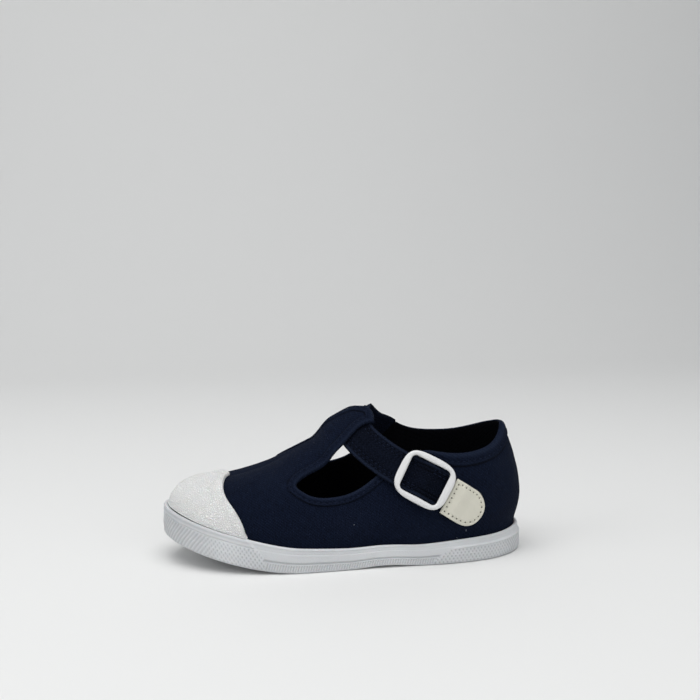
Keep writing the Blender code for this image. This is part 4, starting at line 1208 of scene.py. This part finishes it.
def foxingRelief(x, run, level, height):
    # ribs and dots of the foxing, from the arc length and the real height above the floor edge
    slant = run + foxing["ribSlant"] * height
    other = run - foxing["ribSlant"] * height
    inToe, inHeel = panelShares(x, level)
    ribs = rounded(np.cos(2 * math.pi * (run + foxing["ribLean"] * height) / foxing["ribPitch"]), foxing["ribEdge"])
    bandFade = between(level, 0.06, 0.05, lowBand - 0.06, 0.04)
    relief = -foxing["ribDepth"] * ribs * bandFade * (1 - inToe) * (1 - inHeel)
    # slanted ribs at the tip and the back turn into a lattice of pits towards the arcs
    wave = 2 * math.pi / foxing["dotPitch"]
    pits = np.clip(np.cos(wave * slant) * 0.5 + np.cos(wave * other) * 0.5, 0, 1)
    coarse = rounded(np.cos(wave * np.where(x > 0, slant, other)), foxing["coarseEdge"])
    toeTip = smooth((x - foxing["toeTip"][0]) / foxing["toeTip"][1])
    heelBack = smooth((-foxing["heelBack"][0] - x) / foxing["heelBack"][1])
    toeZone = between(level, 0.05, 0.06, beadFrom - 0.03, 0.04) * inToe
    heelZone = between(level, 0.05, 0.06, foxing["heelPanelTop"] - 0.05, 0.04) * inHeel
    for tip, zone in ((toeTip, toeZone), (heelBack, heelZone)):
        relief = relief - foxing["dotDepth"] * (coarse * tip * foxing["coarseShare"] + pits * (1 - tip)) * zone
    # fine ribs on the toe's bead, a ridge over the heel panel and a lip along the rest
    phase = (level - beadFrom - 0.02) / ((1 - beadFrom - 0.03) / foxing["beadRibs"])
    beadWave = 0.5 - 0.5 * np.cos(2 * math.pi * phase)
    beadZone = between(level, beadFrom + 0.02, 0.02, 0.985, 0.02)
    relief = relief - foxing["beadRibDepth"] * (1 - beadWave) * beadZone * inToe
    relief = relief + foxing["ridgeRise"] * bell(level - foxing["heelPanelTop"] + 0.02, 0.018) * inHeel
    lip = bell(level - 0.955, 0.02) - 0.6 * bell(level - 0.90, 0.015)
    return relief + foxing["lipRise"] * lip * (1 - inToe)


def treadDepth(x, y):
    # skewed grooves under the heel and under the ball
    margin = foxing["treadMargin"]
    spans = ((-halfLength + 2 * margin, lastShape["heelBreastX"] - margin),
             [lastShape["ballX"] + shift for shift in foxing["treadFore"]])
    depth = np.zeros(x.shape)
    for start, stop in spans:
        count = int((stop - start) / foxing["treadPitch"])
        for k in range(count + 1):
            middle = start + k * foxing["treadPitch"]
            at = np.arccos(np.clip(-middle / halfLength, -1, 1)) / math.pi
            low = outline(at, -1.0, margin)[1]
            high = outline(at, 1.0, margin)[1]
            share = np.clip((y - low) / (high - low), 0, 1)
            skew = foxing["treadPitch"] * 0.4
            groove = middle - skew + 2 * skew * share
            across = between(x, groove - 0.1, 0.25, groove + foxing["treadWidth"] + 0.1, 0.25)
            ends = between(y, low - 0.2, 0.5, high + 0.2, 0.5)
            depth = np.maximum(depth, across * ends)
    return depth * foxing["treadDepth"]


def makeSole():
    along, run = stationAlong()
    levels = wallLevels()
    places, insets, toes, heels = wallProfile()
    count = len(along)
    sides = []
    dirtAndShadeSides = []
    for side in (1.0, -1.0):
        a = np.broadcast_to(along, (len(levels), count))
        h = np.broadcast_to(levels[:, None], a.shape)
        x = outline(a, side, 0.6)[0]
        inToe, inHeel = panelShares(x, h)
        stepOut = np.interp(h, places, toes) * inToe
        inset = np.interp(h, places, insets) - stepOut - np.interp(h, places, heels) * inHeel
        height = rimAt(a) * h
        relief = foxingRelief(x, np.broadcast_to(run, a.shape) * side, h, height)
        px, py, _ = outline(a, side, inset - relief)
        uneven = 0.10 * np.sin(a * 97 + side) * np.sin(a * 41.0 + 2 * side) + 0.06 * np.sin(a * 311 + 3 * side)
        pz = bottomZ(outline(a, 1.0, 0.6)[0]) + height + uneven * smooth((h - 0.93) / 0.05) - 0.04
        sides.append(np.stack([px, py, pz], -1))
        # darker towards the bottom edge; painted shade in the rib grooves, the dot pits and the band groove
        dirtAndShade = 0.35 * bell(h, 0.10) + 1.6 * np.clip(-relief, 0, 0.5)
        dirtAndShadeSides.append(dirtAndShade + 0.45 * bell(h - 0.4, 0.045) * (1 - inToe) * (1 - inHeel))
    wall = np.concatenate([sides[0], sides[1][:, -2:0:-1]], 1)
    dirtAndShade = np.concatenate([dirtAndShadeSides[0], dirtAndShadeSides[1][:, -2:0:-1]], 1)
    ring = wall.shape[1]
    full = np.r_[along, along[-2:0:-1]]
    sideOf = np.r_[np.ones(count), -np.ones(count - 2)]
    rows = list(wall)
    dirtAndShadeRows = list(dirtAndShade)
    for share, inset, rise in ((1.0, lastShape["rim"] - 0.4, 0.02), (1.0, lastShape["rim"], -0.25),
                               (0.0, lastShape["rim"], lastShape["slab"])):
        x, y, _ = outline(full, sideOf, inset)
        z = bottomZ(x) + rimAt(full) * share + rise
        rows.append(np.stack([x, y, z], -1))
        dirtAndShadeRows.append(np.full(ring, 0.1))
    points = np.concatenate(rows)
    faces = gridFaces(len(rows), ring, True)
    dirtAndShadeAll = np.concatenate(dirtAndShadeRows)
    # the inside floor and the underside, in strips from side to side
    top = (len(rows) - 1) * ring
    for i in range(1, count - 2):
        faces.append((top + i, top + i + 1, top + ring - i - 1, top + ring - i))
    faces.append((top, top + 1, top + ring - 1))
    faces.append((top + count - 2, top + count - 1, top + count))
    across = 14
    extra = []
    for i in range(1, count - 1):
        first, second = points[i], points[ring - i]
        share = np.arange(1, across) / across
        extra.append(first[None] * (1 - share[:, None]) + second[None] * share[:, None])
    extra = np.concatenate(extra)
    depth = treadDepth(extra[:, 0], extra[:, 1])
    extra[:, 2] += depth
    start = len(points)
    points = np.concatenate([points, extra])
    # darker underneath, more so in the tread grooves
    dirtAndShadeAll = np.r_[dirtAndShadeAll, 0.35 + 0.5 * (depth > 0.4)]

    def strip(i):
        return [i] + [start + (i - 1) * (across - 1) + k for k in range(across - 1)] + [ring - i]

    for i in range(1, count - 2):
        a, b = strip(i), strip(i + 1)
        for k in range(across):
            faces.append((a[k], a[k + 1], b[k + 1], b[k]))
    a = strip(1)
    faces += [(0, a[k + 1], a[k]) for k in range(across)]
    a = strip(count - 2)
    faces += [(count - 1, a[k], a[k + 1]) for k in range(across)]
    makePiece("rubberSole", points, faces, soleMaterial, "sole", None, {"dirtAndShade": dirtAndShadeAll}, sharp=60)


makeSole()
print("sole ready")

capShape = {
    "edge": [
        (0.698, 0.060), (0.706, 0.179), (0.717, 0.257), (0.737, 0.358), (0.756, 0.441), (0.774, 0.536),
        (0.792, 0.654), (0.810, 0.780), (0.830, 0.900), (0.854, 1.000)],
    "skin": 1.4,
    "corner": 0.02,
    "pitch": 1.7,
    "sink": 0.15,
    "border": 3.5,
    "borderRise": 0.22,
    "borderGroove": 0.14,
    "ribHeight": 0.12,
    "ribPitch": 1.2,
    "rings": (0.45, 0.95, 1.4, 1.9, 2.4, 3.0, 3.4, 3.8),
    # distance from the rear edge and height
    "rearEdge": [(0, -0.55), (0.3, -0.15), (0.8, 0.0), (1.6, 0.06)],
}


def seatHeight(along, side):
    return bottomZ(outline(along, side)[0]) + rimAt(along)


def upForHeight(along, side, height):
    low = np.zeros(len(along))
    high = np.full(len(along), 0.6)
    for _ in range(36):
        middle = (low + high) / 2
        under = lastPoint(along, side, middle)[:, 2] < height
        low = np.where(under, middle, low)
        high = np.where(under, high, middle)
    return (low + high) / 2


def makeToeCap():
    start = capShape["edge"][0][0]
    gap = lastShape["gap"]
    along = np.linspace(start, 1, 110)
    side = np.r_[np.ones(110), -np.ones(109)]
    along = np.r_[along, along[-2::-1]]
    lowLine = flatten(side, along, upForHeight(along, side, seatHeight(along, side) + gap))
    rear = np.concatenate([flatRows(1, capShape["edge"]), flatRows(-1, capShape["edge"][-2::-1])])
    rear = resample(rear, 0.9)[::-1]
    rearAlong, rearSide, rearUp = unflatten(rear)
    limit = upForHeight(rearAlong, rearSide, seatHeight(rearAlong, rearSide) + 2 * gap)
    rear = rear[rearUp > limit + capShape["corner"]]
    loop = np.concatenate([lowLine, rear])
    rearLine = surface(np.concatenate([lowLine[-1:], rear, lowLine[:1]]))
    rearLine = densify(rearLine, count=4)
    baseLine = densify(surface(lowLine), count=4)
    extra = []
    for offset in capShape["rings"]:
        for sign in (1.0, -1.0):
            line = offsetLoop(loop, offset, sign)
            line = line[inside(line, loop)]
            gaps, _ = distances(surface(line), np.concatenate([rearLine, baseLine]))
            extra.append(line[gaps > offset * 0.9])
    extra = np.concatenate(extra)
    flat, faces = fillPattern(loop, [], extra, capShape["pitch"], 0.5)
    base = surface(flat)
    out = normals(flat)
    rearGap, _ = distances(base, rearLine)
    lowGap, _ = distances(base, baseLine)
    edge = np.interp(rearGap, *zip(*capShape["rearEdge"]))
    beyond = rearGap - capShape["border"]
    border = capShape["borderRise"] * (1 - smooth(beyond / 0.5)) - capShape["borderGroove"] * bell(beyond - 0.5, 0.4)
    wave = np.cos(2 * math.pi * lowGap / capShape["ribPitch"])
    ribs = capShape["ribHeight"] * wave * (1 - smooth((lowGap - capShape["ribPitch"]) / 0.5))
    x, y, z = base.T
    swell = 0.10 * np.sin(x * 0.5 + y * 0.35) * np.sin(z * 0.6 - y * 0.3) * smooth((rearGap - 4) / 3)
    lift = gap + capShape["skin"] + edge + border * smooth(lowGap / 2.5) + ribs + swell
    outside = base + out * lift[:, None]
    insidePoints = base + out * gap
    alongAll, sideAll, _ = unflatten(flat)
    seated = seatHeight(alongAll, sideAll) - capShape["sink"]
    outside[:, 2] -= (outside[:, 2] - seated) * (1 - smooth(lowGap / 2.6))
    outside[:, 2] = np.maximum(outside[:, 2], seated)
    insidePoints[:, 2] = np.maximum(insidePoints[:, 2], seated)
    # darker along the cap's low and rear edges, where it meets the foxing
    dirtAndShade = 0.25 * bell(lowGap, 1.2) + 0.15 * bell(rearGap, 0.8)
    makePiece("toeCap", np.concatenate([outside, insidePoints]), thickFaces(faces, len(flat)), capMaterial,
              "toe_cap", None, {"dirtAndShade": np.r_[dirtAndShade, dirtAndShade]}, sharp=60)


makeToeCap()

# Moulding burr where the cap's rear edge meets the foxing; along and up of its spots
burr = {"spots": [(0.697, 0.100), (0.699, 0.088)], "length": 1.3, "radius": 0.42, "lift": 1.25}


def makeBurr():
    paths = []
    for along, up in burr["spots"]:
        flat = flatten(np.float64(1), along, up)[None]
        out = normals(flat)[0]
        start = surface(flat)[0] + out * burr["lift"]
        path = start + np.linspace(-0.5, 0.5, 5)[:, None] * burr["length"] * np.array([-0.5, 0.1, 0.85])
        paths.append((path, np.tile(out, (5, 1))))
    points, faces = tubePieces(paths, burr["radius"], 8)
    makePiece("capBurr", points, faces, capMaterial, None)


makeBurr()
print("toe cap ready")

buckleShape = {
    "at": 45.0,
    "length": 24.6,
    "width": 22.0,
    "endBar": 3.3,
    "thick": 2.2,
    "barrel": 3.4,
    "windowCorner": 2.0,
    "bar": 1.1,
    "barWidth": 2.8,
}
tabShape = {
    "width": 16.8,
    "shift": -0.9,
    "length": 18.6,
    "skin": 1.3,
    "lap": 4.0,
    "ramp": 6.5,
    "clear": 0.5,
    "stitchInset": 1.6,
    "holePitch": 2.15,
    "holeRings": ((0.0, 1), (0.22, 6), (0.42, 8), (0.6, 10)),
    "edge": [(0, 0.45), (0.25, 0.14), (0.6, 0.03), (1.0, 0.0)],
    "threadArch": (-0.2, 0.04, 0.08, 0.04, -0.2),
    "threadRadius": 0.2,
}
strapEnd = buckleShape["at"] + buckleShape["length"] / 2 + lastShape["gap"] + tabShape["lap"]


def strapLift(s):
    gap = lastShape["gap"]
    onHem = upperCut["hemRise"] + gap
    hidden = -upperCut["wall"] - gap - strapShape["thick"]
    hump = onHem + buckleShape["bar"] + gap
    over = buckleShape["barWidth"] / 2
    loop = loopShape["width"] / 2
    at = buckleShape["at"]
    places = [-strapShape["tail"], -loop - 9.5, -loop, loop, loop + 5.0, at - over - 5.0, at - over,
              at + over, at + over + 5.0, strapEnd]
    lifts = [hidden, hidden, gap, gap, onHem, onHem, hump, hump, gap, gap]
    total = 0
    for shift in (-1.2, -0.6, 0.0, 0.6, 1.2):
        total = total + np.interp(s + shift, places, lifts)
    return total / 5


def strapThick(s):
    return np.interp(s, [strapEnd - 2 * tabShape["lap"], strapEnd - tabShape["lap"]],
                     [strapShape["thick"], strapShape["tip"]])


def makeStrap():
    half = strapShape["width"] / 2
    s = np.arange(-strapShape["tail"], strapEnd, strapShape["step"])
    across = np.r_[-half + 0.02, -half + 0.3, np.linspace(-half + 0.7, half - 0.7, 46), half - 0.3, half - 0.02]
    edge = np.interp(half - np.abs(across), [0.02, 0.3, 0.7, 1.2], [0.42, 0.14, 0.03, 0.0])
    grid, b = np.meshgrid(s, across, indexing="ij")
    phase = 1.1 * np.sin(b * 0.9) + 1.6 * np.sin(b * 0.37 + grid * 0.11)
    wave = np.sin(2 * math.pi * grid / strapShape["gatherPitch"] + phase)
    uneven = 0.55 + 0.45 * np.sin(grid * 0.47 + b * 0.8) * np.sin(b * 1.3 + 0.4)
    gather = strapShape["gatherDepth"] * wave * uneven
    rows = np.zeros(b.shape)
    for seam in strapShape["seams"]:
        rows -= strapShape["seamDepth"] * bell(b - seam, strapShape["seamWidth"])
    for welt in strapShape["welts"]:
        rows += strapShape["weltRise"] * bell(b - welt, strapShape["weltWidth"])
    broad = 0.25 * np.cos(math.pi * b / half) + 0.10 * np.sin(b * 1.9 + 0.6) * np.sin(grid * 0.06)
    lift = strapLift(grid)
    thick = strapThick(grid)
    fadeIn = smooth((half - np.abs(b)) / 1.0)
    topLift = lift + thick - edge[None, :] * 1.2 + (gather + rows + broad - 0.15) * fadeIn
    low = lift + edge[None, :]
    flat = strapTrack.flat(grid.ravel(), b.ravel())
    base = surface(flat)
    out = normals(flat)
    topPoints = (base + out * topLift.ravel()[:, None]).reshape(len(s), -1, 3)
    lowPoints = (base + out * low.ravel()[:, None]).reshape(len(s), -1, 3)
    section = np.concatenate([lowPoints[:, ::3], topPoints[:, ::-1]], 1)
    faces = tubeFaces(len(s), section.shape[1])
    # painted shade in the seam grooves and painted highlight on the outer welts
    seamGap = np.min([np.abs(across - seam) for seam in strapShape["seams"]], axis=0)
    weltGap = np.min([np.abs(across - welt) for welt in (-7.2, 7.2)], axis=0)
    creaseShadeRow = np.r_[np.zeros(len(across[::3])), 0.8 * bell(seamGap[::-1], 0.3)]
    highlightRow = np.r_[np.zeros(len(across[::3])), 0.6 * bell(weltGap[::-1], 0.6)]
    masks = {"creaseShade": np.tile(creaseShadeRow, len(s)), "ridgeHighlight": np.tile(highlightRow, len(s))}
    wide = np.concatenate([across[::3], across[::-1] + 20.0])
    makePiece("webbingStrap", section.reshape(-1, 3), faces, strapMaterial, "strap",
              gridUv(wide, s), masks)


strapStitch = {
    "start": -8.0,
    "pitch": 2.3,
    "length": 1.8,
    "radius": 0.17,
    "sink": 0.12,
    "arch": (-0.12, 0.05, 0.09, 0.05, -0.12),
}


def makeStrapStitches():
    lead = strapStitch["start"] - 1.0
    paths = []
    for seam in strapShape["seams"]:
        line = strapTrack.flat(np.linspace(lead, strapEnd - 1.0, 220), np.full(220, seam))
        reach = runLength(surface(line)) + lead
        crown = 0.18 * math.cos(math.pi * seam / (strapShape["width"] / 2))
        for start in np.arange(strapStitch["start"], strapEnd - 3.0, strapStitch["pitch"]):
            spots = np.linspace(start, start + strapStitch["length"], 5)
            part = np.stack([np.interp(spots, reach, line[:, k]) for k in range(2)], 1)
            height = strapLift(spots) + strapThick(spots) - strapStitch["sink"] + np.array(strapStitch["arch"])
            height = height - 0.15 + crown
            paths.append((surface(part) + normals(part) * height[:, None], normals(part)))
    points, faces = tubePieces(paths, strapStitch["radius"])
    makePiece("strapStitches", points, faces, threadMaterial, None, points[:, :2] * toCm)


makeStrap()
makeStrapStitches()
print("strap ready")


def roundedRectangle(length, width, corner, count):
    points = []
    for k, (sx, sy) in enumerate(((1, 1), (-1, 1), (-1, -1), (1, -1))):
        for a in np.linspace(k, k + 1, count) * math.pi / 2:
            points.append((sx * (length / 2 - corner) + corner * math.cos(a),
                           sy * (width / 2 - corner) + corner * math.sin(a)))
    return evenLoop(np.array(points), 8 * count)[0]


def makeBuckle():
    shape = buckleShape
    gap = lastShape["gap"]
    sideBar = (shape["width"] - strapShape["width"]) / 2 - 0.2
    power = shape["barrel"]
    turnOuter = np.linspace(0, 2 * math.pi, 721)[:-1]
    far = 1 / (np.abs(np.cos(turnOuter) / (shape["length"] / 2)) ** power
               + np.abs(np.sin(turnOuter) / (shape["width"] / 2)) ** power) ** (1 / power)
    outer, _ = evenLoop(np.stack([far * np.cos(turnOuter), far * np.sin(turnOuter)], 1), 132)
    innerSize = (shape["length"] - 2 * shape["endBar"], shape["width"] - 2 * sideBar)
    # each outer point goes with the nearest point of the window, so that sections stay square to the frame
    inner = densify(roundedRectangle(*innerSize, shape["windowCorner"], 14), closed=True, count=6)
    _, which = distances(outer, inner)
    innerPoints = inner[which]
    low = upperCut["hemRise"] + gap + strapShape["thick"] + gap
    turn = np.linspace(0, 2 * math.pi, 21)[:-1]
    share = 0.5 + 0.5 * np.sign(np.cos(turn)) * np.abs(np.cos(turn)) ** 0.7
    height = 0.46 + 0.5 * np.sign(np.sin(turn)) * np.abs(np.sin(turn)) ** 0.8
    spots = innerPoints[:, None] + (outer - innerPoints)[:, None] * share[None, :, None]
    points = strapTrack.at(shape["at"] + spots[..., 0], spots[..., 1],
                           np.broadcast_to(low + shape["thick"] * height, spots.shape[:2]))
    size = len(turn)
    count = len(outer)
    points = points.reshape(-1, 3)
    faces = []
    for i in range(count):
        j = (i + 1) % count
        for k in range(size):
            m = (k + 1) % size
            faces.append((i * size + k, j * size + k, j * size + m, i * size + m))
    # centre bar behind the strap, with a post up to each side of the frame
    barHalf = strapShape["width"] / 2 + 1.6
    post = strapShape["width"] / 2 + gap
    under = upperCut["hemRise"] + gap
    high = low + shape["thick"] * 0.5
    over = under + shape["bar"]
    profile = [(-barHalf, under + 0.3), (-barHalf + 0.4, under), (0.0, under), (barHalf - 0.4, under),
               (barHalf, under + 0.3), (barHalf, high), (post, high), (post, over), (0.0, over), (-post, over),
               (-post, high), (-barHalf, high)]
    rows = []
    for s, lift in ((-0.5, 0.2), (-0.4, 0.0), (0.4, 0.0), (0.5, 0.2)):
        rows.append(np.array([strapTrack.at(shape["at"] + s * shape["barWidth"], b, h + lift * (h <= under + 0.3))
                              for b, h in profile]))
    faces += tubeFaces(len(rows), len(profile), len(points))
    makePiece("plasticBuckle", np.concatenate([points, *rows]), faces, plasticMaterial, "buckle", sharp=55)


makeBuckle()


def makeTab():
    shape = tabShape
    gap = lastShape["gap"]
    front = buckleShape["at"] + buckleShape["length"] / 2 + gap
    half = shape["width"] / 2
    run = shape["length"] - half

    def tabOutline(inset, count):
        h = half - inset
        arc = np.linspace(math.pi / 2, -math.pi / 2, 60)
        line = [(inset, -h), (inset, h)] + [(run + h * math.cos(a), h * math.sin(a)) for a in arc]
        return evenLoop(np.array(line), count)

    def tabStep(x):
        rise = smooth((x - shape["lap"] - shape["clear"]) / shape["ramp"])
        return (gap + strapShape["tip"] + gap) * (1 - rise) + gap * rise

    loop, _ = tabOutline(0.0, 150)
    extra = np.concatenate([tabOutline(0.25, 150)[0], tabOutline(0.6, 140)[0]])
    holeLoop, holeLength = tabOutline(shape["stitchInset"], 400)
    holeCount = int(round(holeLength / shape["holePitch"]))
    holes, _ = tabOutline(shape["stitchInset"], holeCount)
    rosette = []
    for x, y in holes:
        for radius, number in shape["holeRings"]:
            for k in range(number):
                angle = 2 * math.pi * k / number
                rosette.append((x + radius * math.cos(angle), y + radius * math.sin(angle)))
    extra = np.concatenate([extra, np.array(rosette)])
    flat, faces = fillPattern(loop, [], extra, 0.75, 0.5)
    edgeGap, _ = distances(flat, densify(loop, closed=True, count=4))
    holeGap, _ = distances(flat, holes)
    lineGap, _ = distances(flat, holeLoop)
    inner = tabStep(flat[:, 0])
    dimple = 0.7 * (1 - smooth((holeGap - 0.12) / 0.4))
    seam = 0.14 * bell(lineGap, 0.5)
    edge = np.interp(edgeGap, *zip(*shape["edge"]))
    dome = 0.12 * np.sin(flat[:, 0] * 0.35 + 0.6) * np.cos(flat[:, 1] * 0.22)
    topLift = inner + shape["skin"] - dimple - seam - edge + dome * smooth(edgeGap / 2)
    where = strapTrack.flat(front + flat[:, 0], flat[:, 1] + shape["shift"])
    base = surface(where)
    out = normals(where)
    points = np.concatenate([base + out * topLift[:, None], base + out * (inner + edge * 0.4)[:, None]])
    faceList = thickFaces(faces, len(flat))
    # the pattern runs from the strap outwards, so its faces turn over where the track does
    across = np.cross(points[faces[0][1]] - points[faces[0][0]], points[faces[0][2]] - points[faces[0][0]])
    if across @ out[faces[0][0]] < 0:
        faceList = [f[::-1] for f in faceList]
    # mask of painted shade in the stitch holes
    mask = 1 - smooth((holeGap - 0.16) / 0.26)
    makePiece("ivoryTab", points, faceList, tabMaterial, "tab", None, {"hole": np.r_[mask, mask * 0]},
              sharp=60)
    # thread that lies between the holes
    paths = []
    for k in range(holeCount):
        a, b = holes[k], holes[(k + 1) % holeCount]
        spots = a[None] + (b - a)[None] * np.linspace(0.12, 0.88, 5)[:, None]
        whereStitch = strapTrack.flat(front + spots[:, 0], spots[:, 1] + shape["shift"])
        level = tabStep(spots[:, 0]) + shape["skin"] - 0.16 + np.array(shape["threadArch"])
        paths.append((surface(whereStitch) + normals(whereStitch) * level[:, None], normals(whereStitch)))
    stitchPoints, stitchFaces = tubePieces(paths, shape["threadRadius"])
    makePiece("tabStitches", stitchPoints, stitchFaces, tabMaterial, None)


makeTab()
print("buckle and tab ready")


footbed = {"thick": 3.0, "edgeDrop": 0.8, "dish": 0.25}


def makeInsole():
    inset = wallInset + upperCut["wall"] + 2 * lastShape["gap"]
    along = np.linspace(0, 1, 130)[1:-1]
    low = lastShape["slab"] + lastShape["gap"] * 2
    high = low + footbed["thick"]
    lateral = np.stack(outline(along, 1.0, inset)[:2], -1)
    medial = np.stack(outline(along, -1.0, inset)[:2], -1)
    across = np.linspace(0, 1, 30)
    grid = lateral[:, None] * (1 - across[None, :, None]) + medial[:, None] * across[None, :, None]
    edge = np.minimum(across, 1 - across)[None, :] * np.linalg.norm(lateral - medial, axis=1)[:, None]
    z = bottomZ(grid[..., 0]) + high - footbed["edgeDrop"] * (1 - smooth(edge / 1.2))
    z = z - footbed["dish"] * smooth((edge - 3) / 8)
    topPoints = np.concatenate([grid, z[..., None]], -1).reshape(-1, 3)
    lowPoints = topPoints.copy()
    lowPoints[:, 2] = bottomZ(lowPoints[:, 0]) + low
    faces = gridFaces(len(along), len(across), False)
    count = len(topPoints)
    faces = faces + borderWall(faces, count) + [tuple(k + count for k in f)[::-1] for f in faces]
    points = np.concatenate([topPoints, lowPoints])
    piece = makePiece("footbed", points, faces, liningMaterial, "insole", points[:, :2] * toCm)
    piece.data.flip_normals()


makeInsole()

# Lint: along and up on the outer side, length, turn in degrees
lint = {
    "spots": [(0.280, 0.065, 1.1, 85), (0.300, 0.040, 0.6, 120), (0.240, 0.030, 0.7, 40), (0.50, 0.18, 0.5, 20)],
    "radius": 0.07,
    "color": (0.30, 0.33, 0.38),
}


def makeLint():
    material, _, _ = newMaterial("paleLint", lint["color"], 0.9)
    paths = []
    for along, up, length, turn in lint["spots"]:
        centre = flatten(np.float64(1), along, up)[None]
        out = normals(centre)[0]
        foot = surface(centre)[0]
        ahead = surface(slide(centre, np.array([[1.0, 0.0, 0.0]])))[0] - foot
        ahead /= np.linalg.norm(ahead)
        sideways = np.cross(out, ahead)
        angle = math.radians(turn)
        way = math.cos(angle) * ahead + math.sin(angle) * sideways
        bend = math.cos(angle) * sideways - math.sin(angle) * ahead
        share = np.linspace(-0.5, 0.5, 7)[:, None]
        path = foot + out * 0.12 + way * share * length + bend * (share ** 2) * length * 0.8
        path = path + out * (0.25 - share ** 2) * 0.5
        paths.append((path, np.tile(out, (7, 1))))
    points, faces = tubePieces(paths, lint["radius"], 5)
    makePiece("lintFibres", points, faces, material, None)


makeLint()
print("small things ready")

stage = {
    "floor": (0.80, 0.80, 0.79),
    "floorRoughness": 0.75,
    "front": 1.6,
    "wallAt": -1.1,
    "wallBend": 0.5,
    "wallTop": 2.2,
    "halfWidth": 2.4,
    "worldColor": (0.90, 0.93, 0.97),
    "worldStrength": 0.30,
}


def makeStage():
    material, _, shader = newMaterial("paleFloor", stage["floor"], stage["floorRoughness"])
    shader.inputs["Specular IOR Level"].default_value = 0.3
    wall, bend = stage["wallAt"], stage["wallBend"]
    profile = [(stage["front"], 0.0)]
    profile += [(wall + bend * (1 - math.sin(a)), bend * (1 - math.cos(a))) for a in np.linspace(0, math.pi / 2, 14)]
    profile.append((wall, stage["wallTop"]))
    points = [(side * stage["halfWidth"], y, z) for y, z in profile for side in (-1, 1)]
    faces = [(2 * k, 2 * k + 1, 2 * k + 3, 2 * k + 2) for k in range(len(profile) - 1)]
    mesh = bpy.data.meshes.new("studioSweep")
    mesh.from_pydata(points, [], faces)
    mesh.shade_smooth()
    sweep = bpy.data.objects.new("studioSweep", mesh)
    mesh.materials.append(material)
    bpy.context.scene.collection.objects.link(sweep)
    world = bpy.data.worlds.new("softSky")
    world.use_nodes = True
    background = world.node_tree.nodes["Background"]
    background.inputs["Color"].default_value = (*stage["worldColor"], 1.0)
    background.inputs["Strength"].default_value = stage["worldStrength"]
    bpy.context.scene.world = world


lights = [
    {"name": "overheadBox", "at": (0.15, 0.25, 1.15), "aim": (0.0, 0.0, 0.03), "size": 1.1, "power": 11.2},
    {"name": "frontFill", "at": (-0.6, 1.1, 0.6), "aim": (0.0, 0.0, 0.03), "size": 0.9, "power": 2.5},
    {"name": "toeSide", "at": (1.0, 0.35, 0.55), "aim": (0.03, 0.0, 0.03), "size": 0.7, "power": 2.1},
]


def makeLights():
    for row in lights:
        data = bpy.data.lights.new(row["name"], "AREA")
        data.shape = "SQUARE"
        data.size = row["size"]
        data.energy = row["power"]
        lamp = bpy.data.objects.new(row["name"], data)
        bpy.context.scene.collection.objects.link(lamp)
        lamp.location = row["at"]
        aim = Vector(row["aim"]) - Vector(row["at"])
        lamp.rotation_euler = aim.to_track_quat("-Z", "Y").to_euler()


viewpoint = {"at": (0.0751, 0.4893, 0.150), "turn": (83.5, 0.0, 171.0), "lens": 56.57}


def makeCamera():
    data = bpy.data.cameras.new("photoView")
    data.lens = viewpoint["lens"]
    data.sensor_width = 36.0
    data.clip_start = 0.01
    camera = bpy.data.objects.new("photoView", data)
    bpy.context.scene.collection.objects.link(camera)
    camera.location = viewpoint["at"]
    camera.rotation_euler = [math.radians(a) for a in viewpoint["turn"]]
    bpy.context.scene.camera = camera


makeStage()
makeLights()
makeCamera()
bpy.context.scene.view_settings.view_transform = "Standard"
print("stage ready")
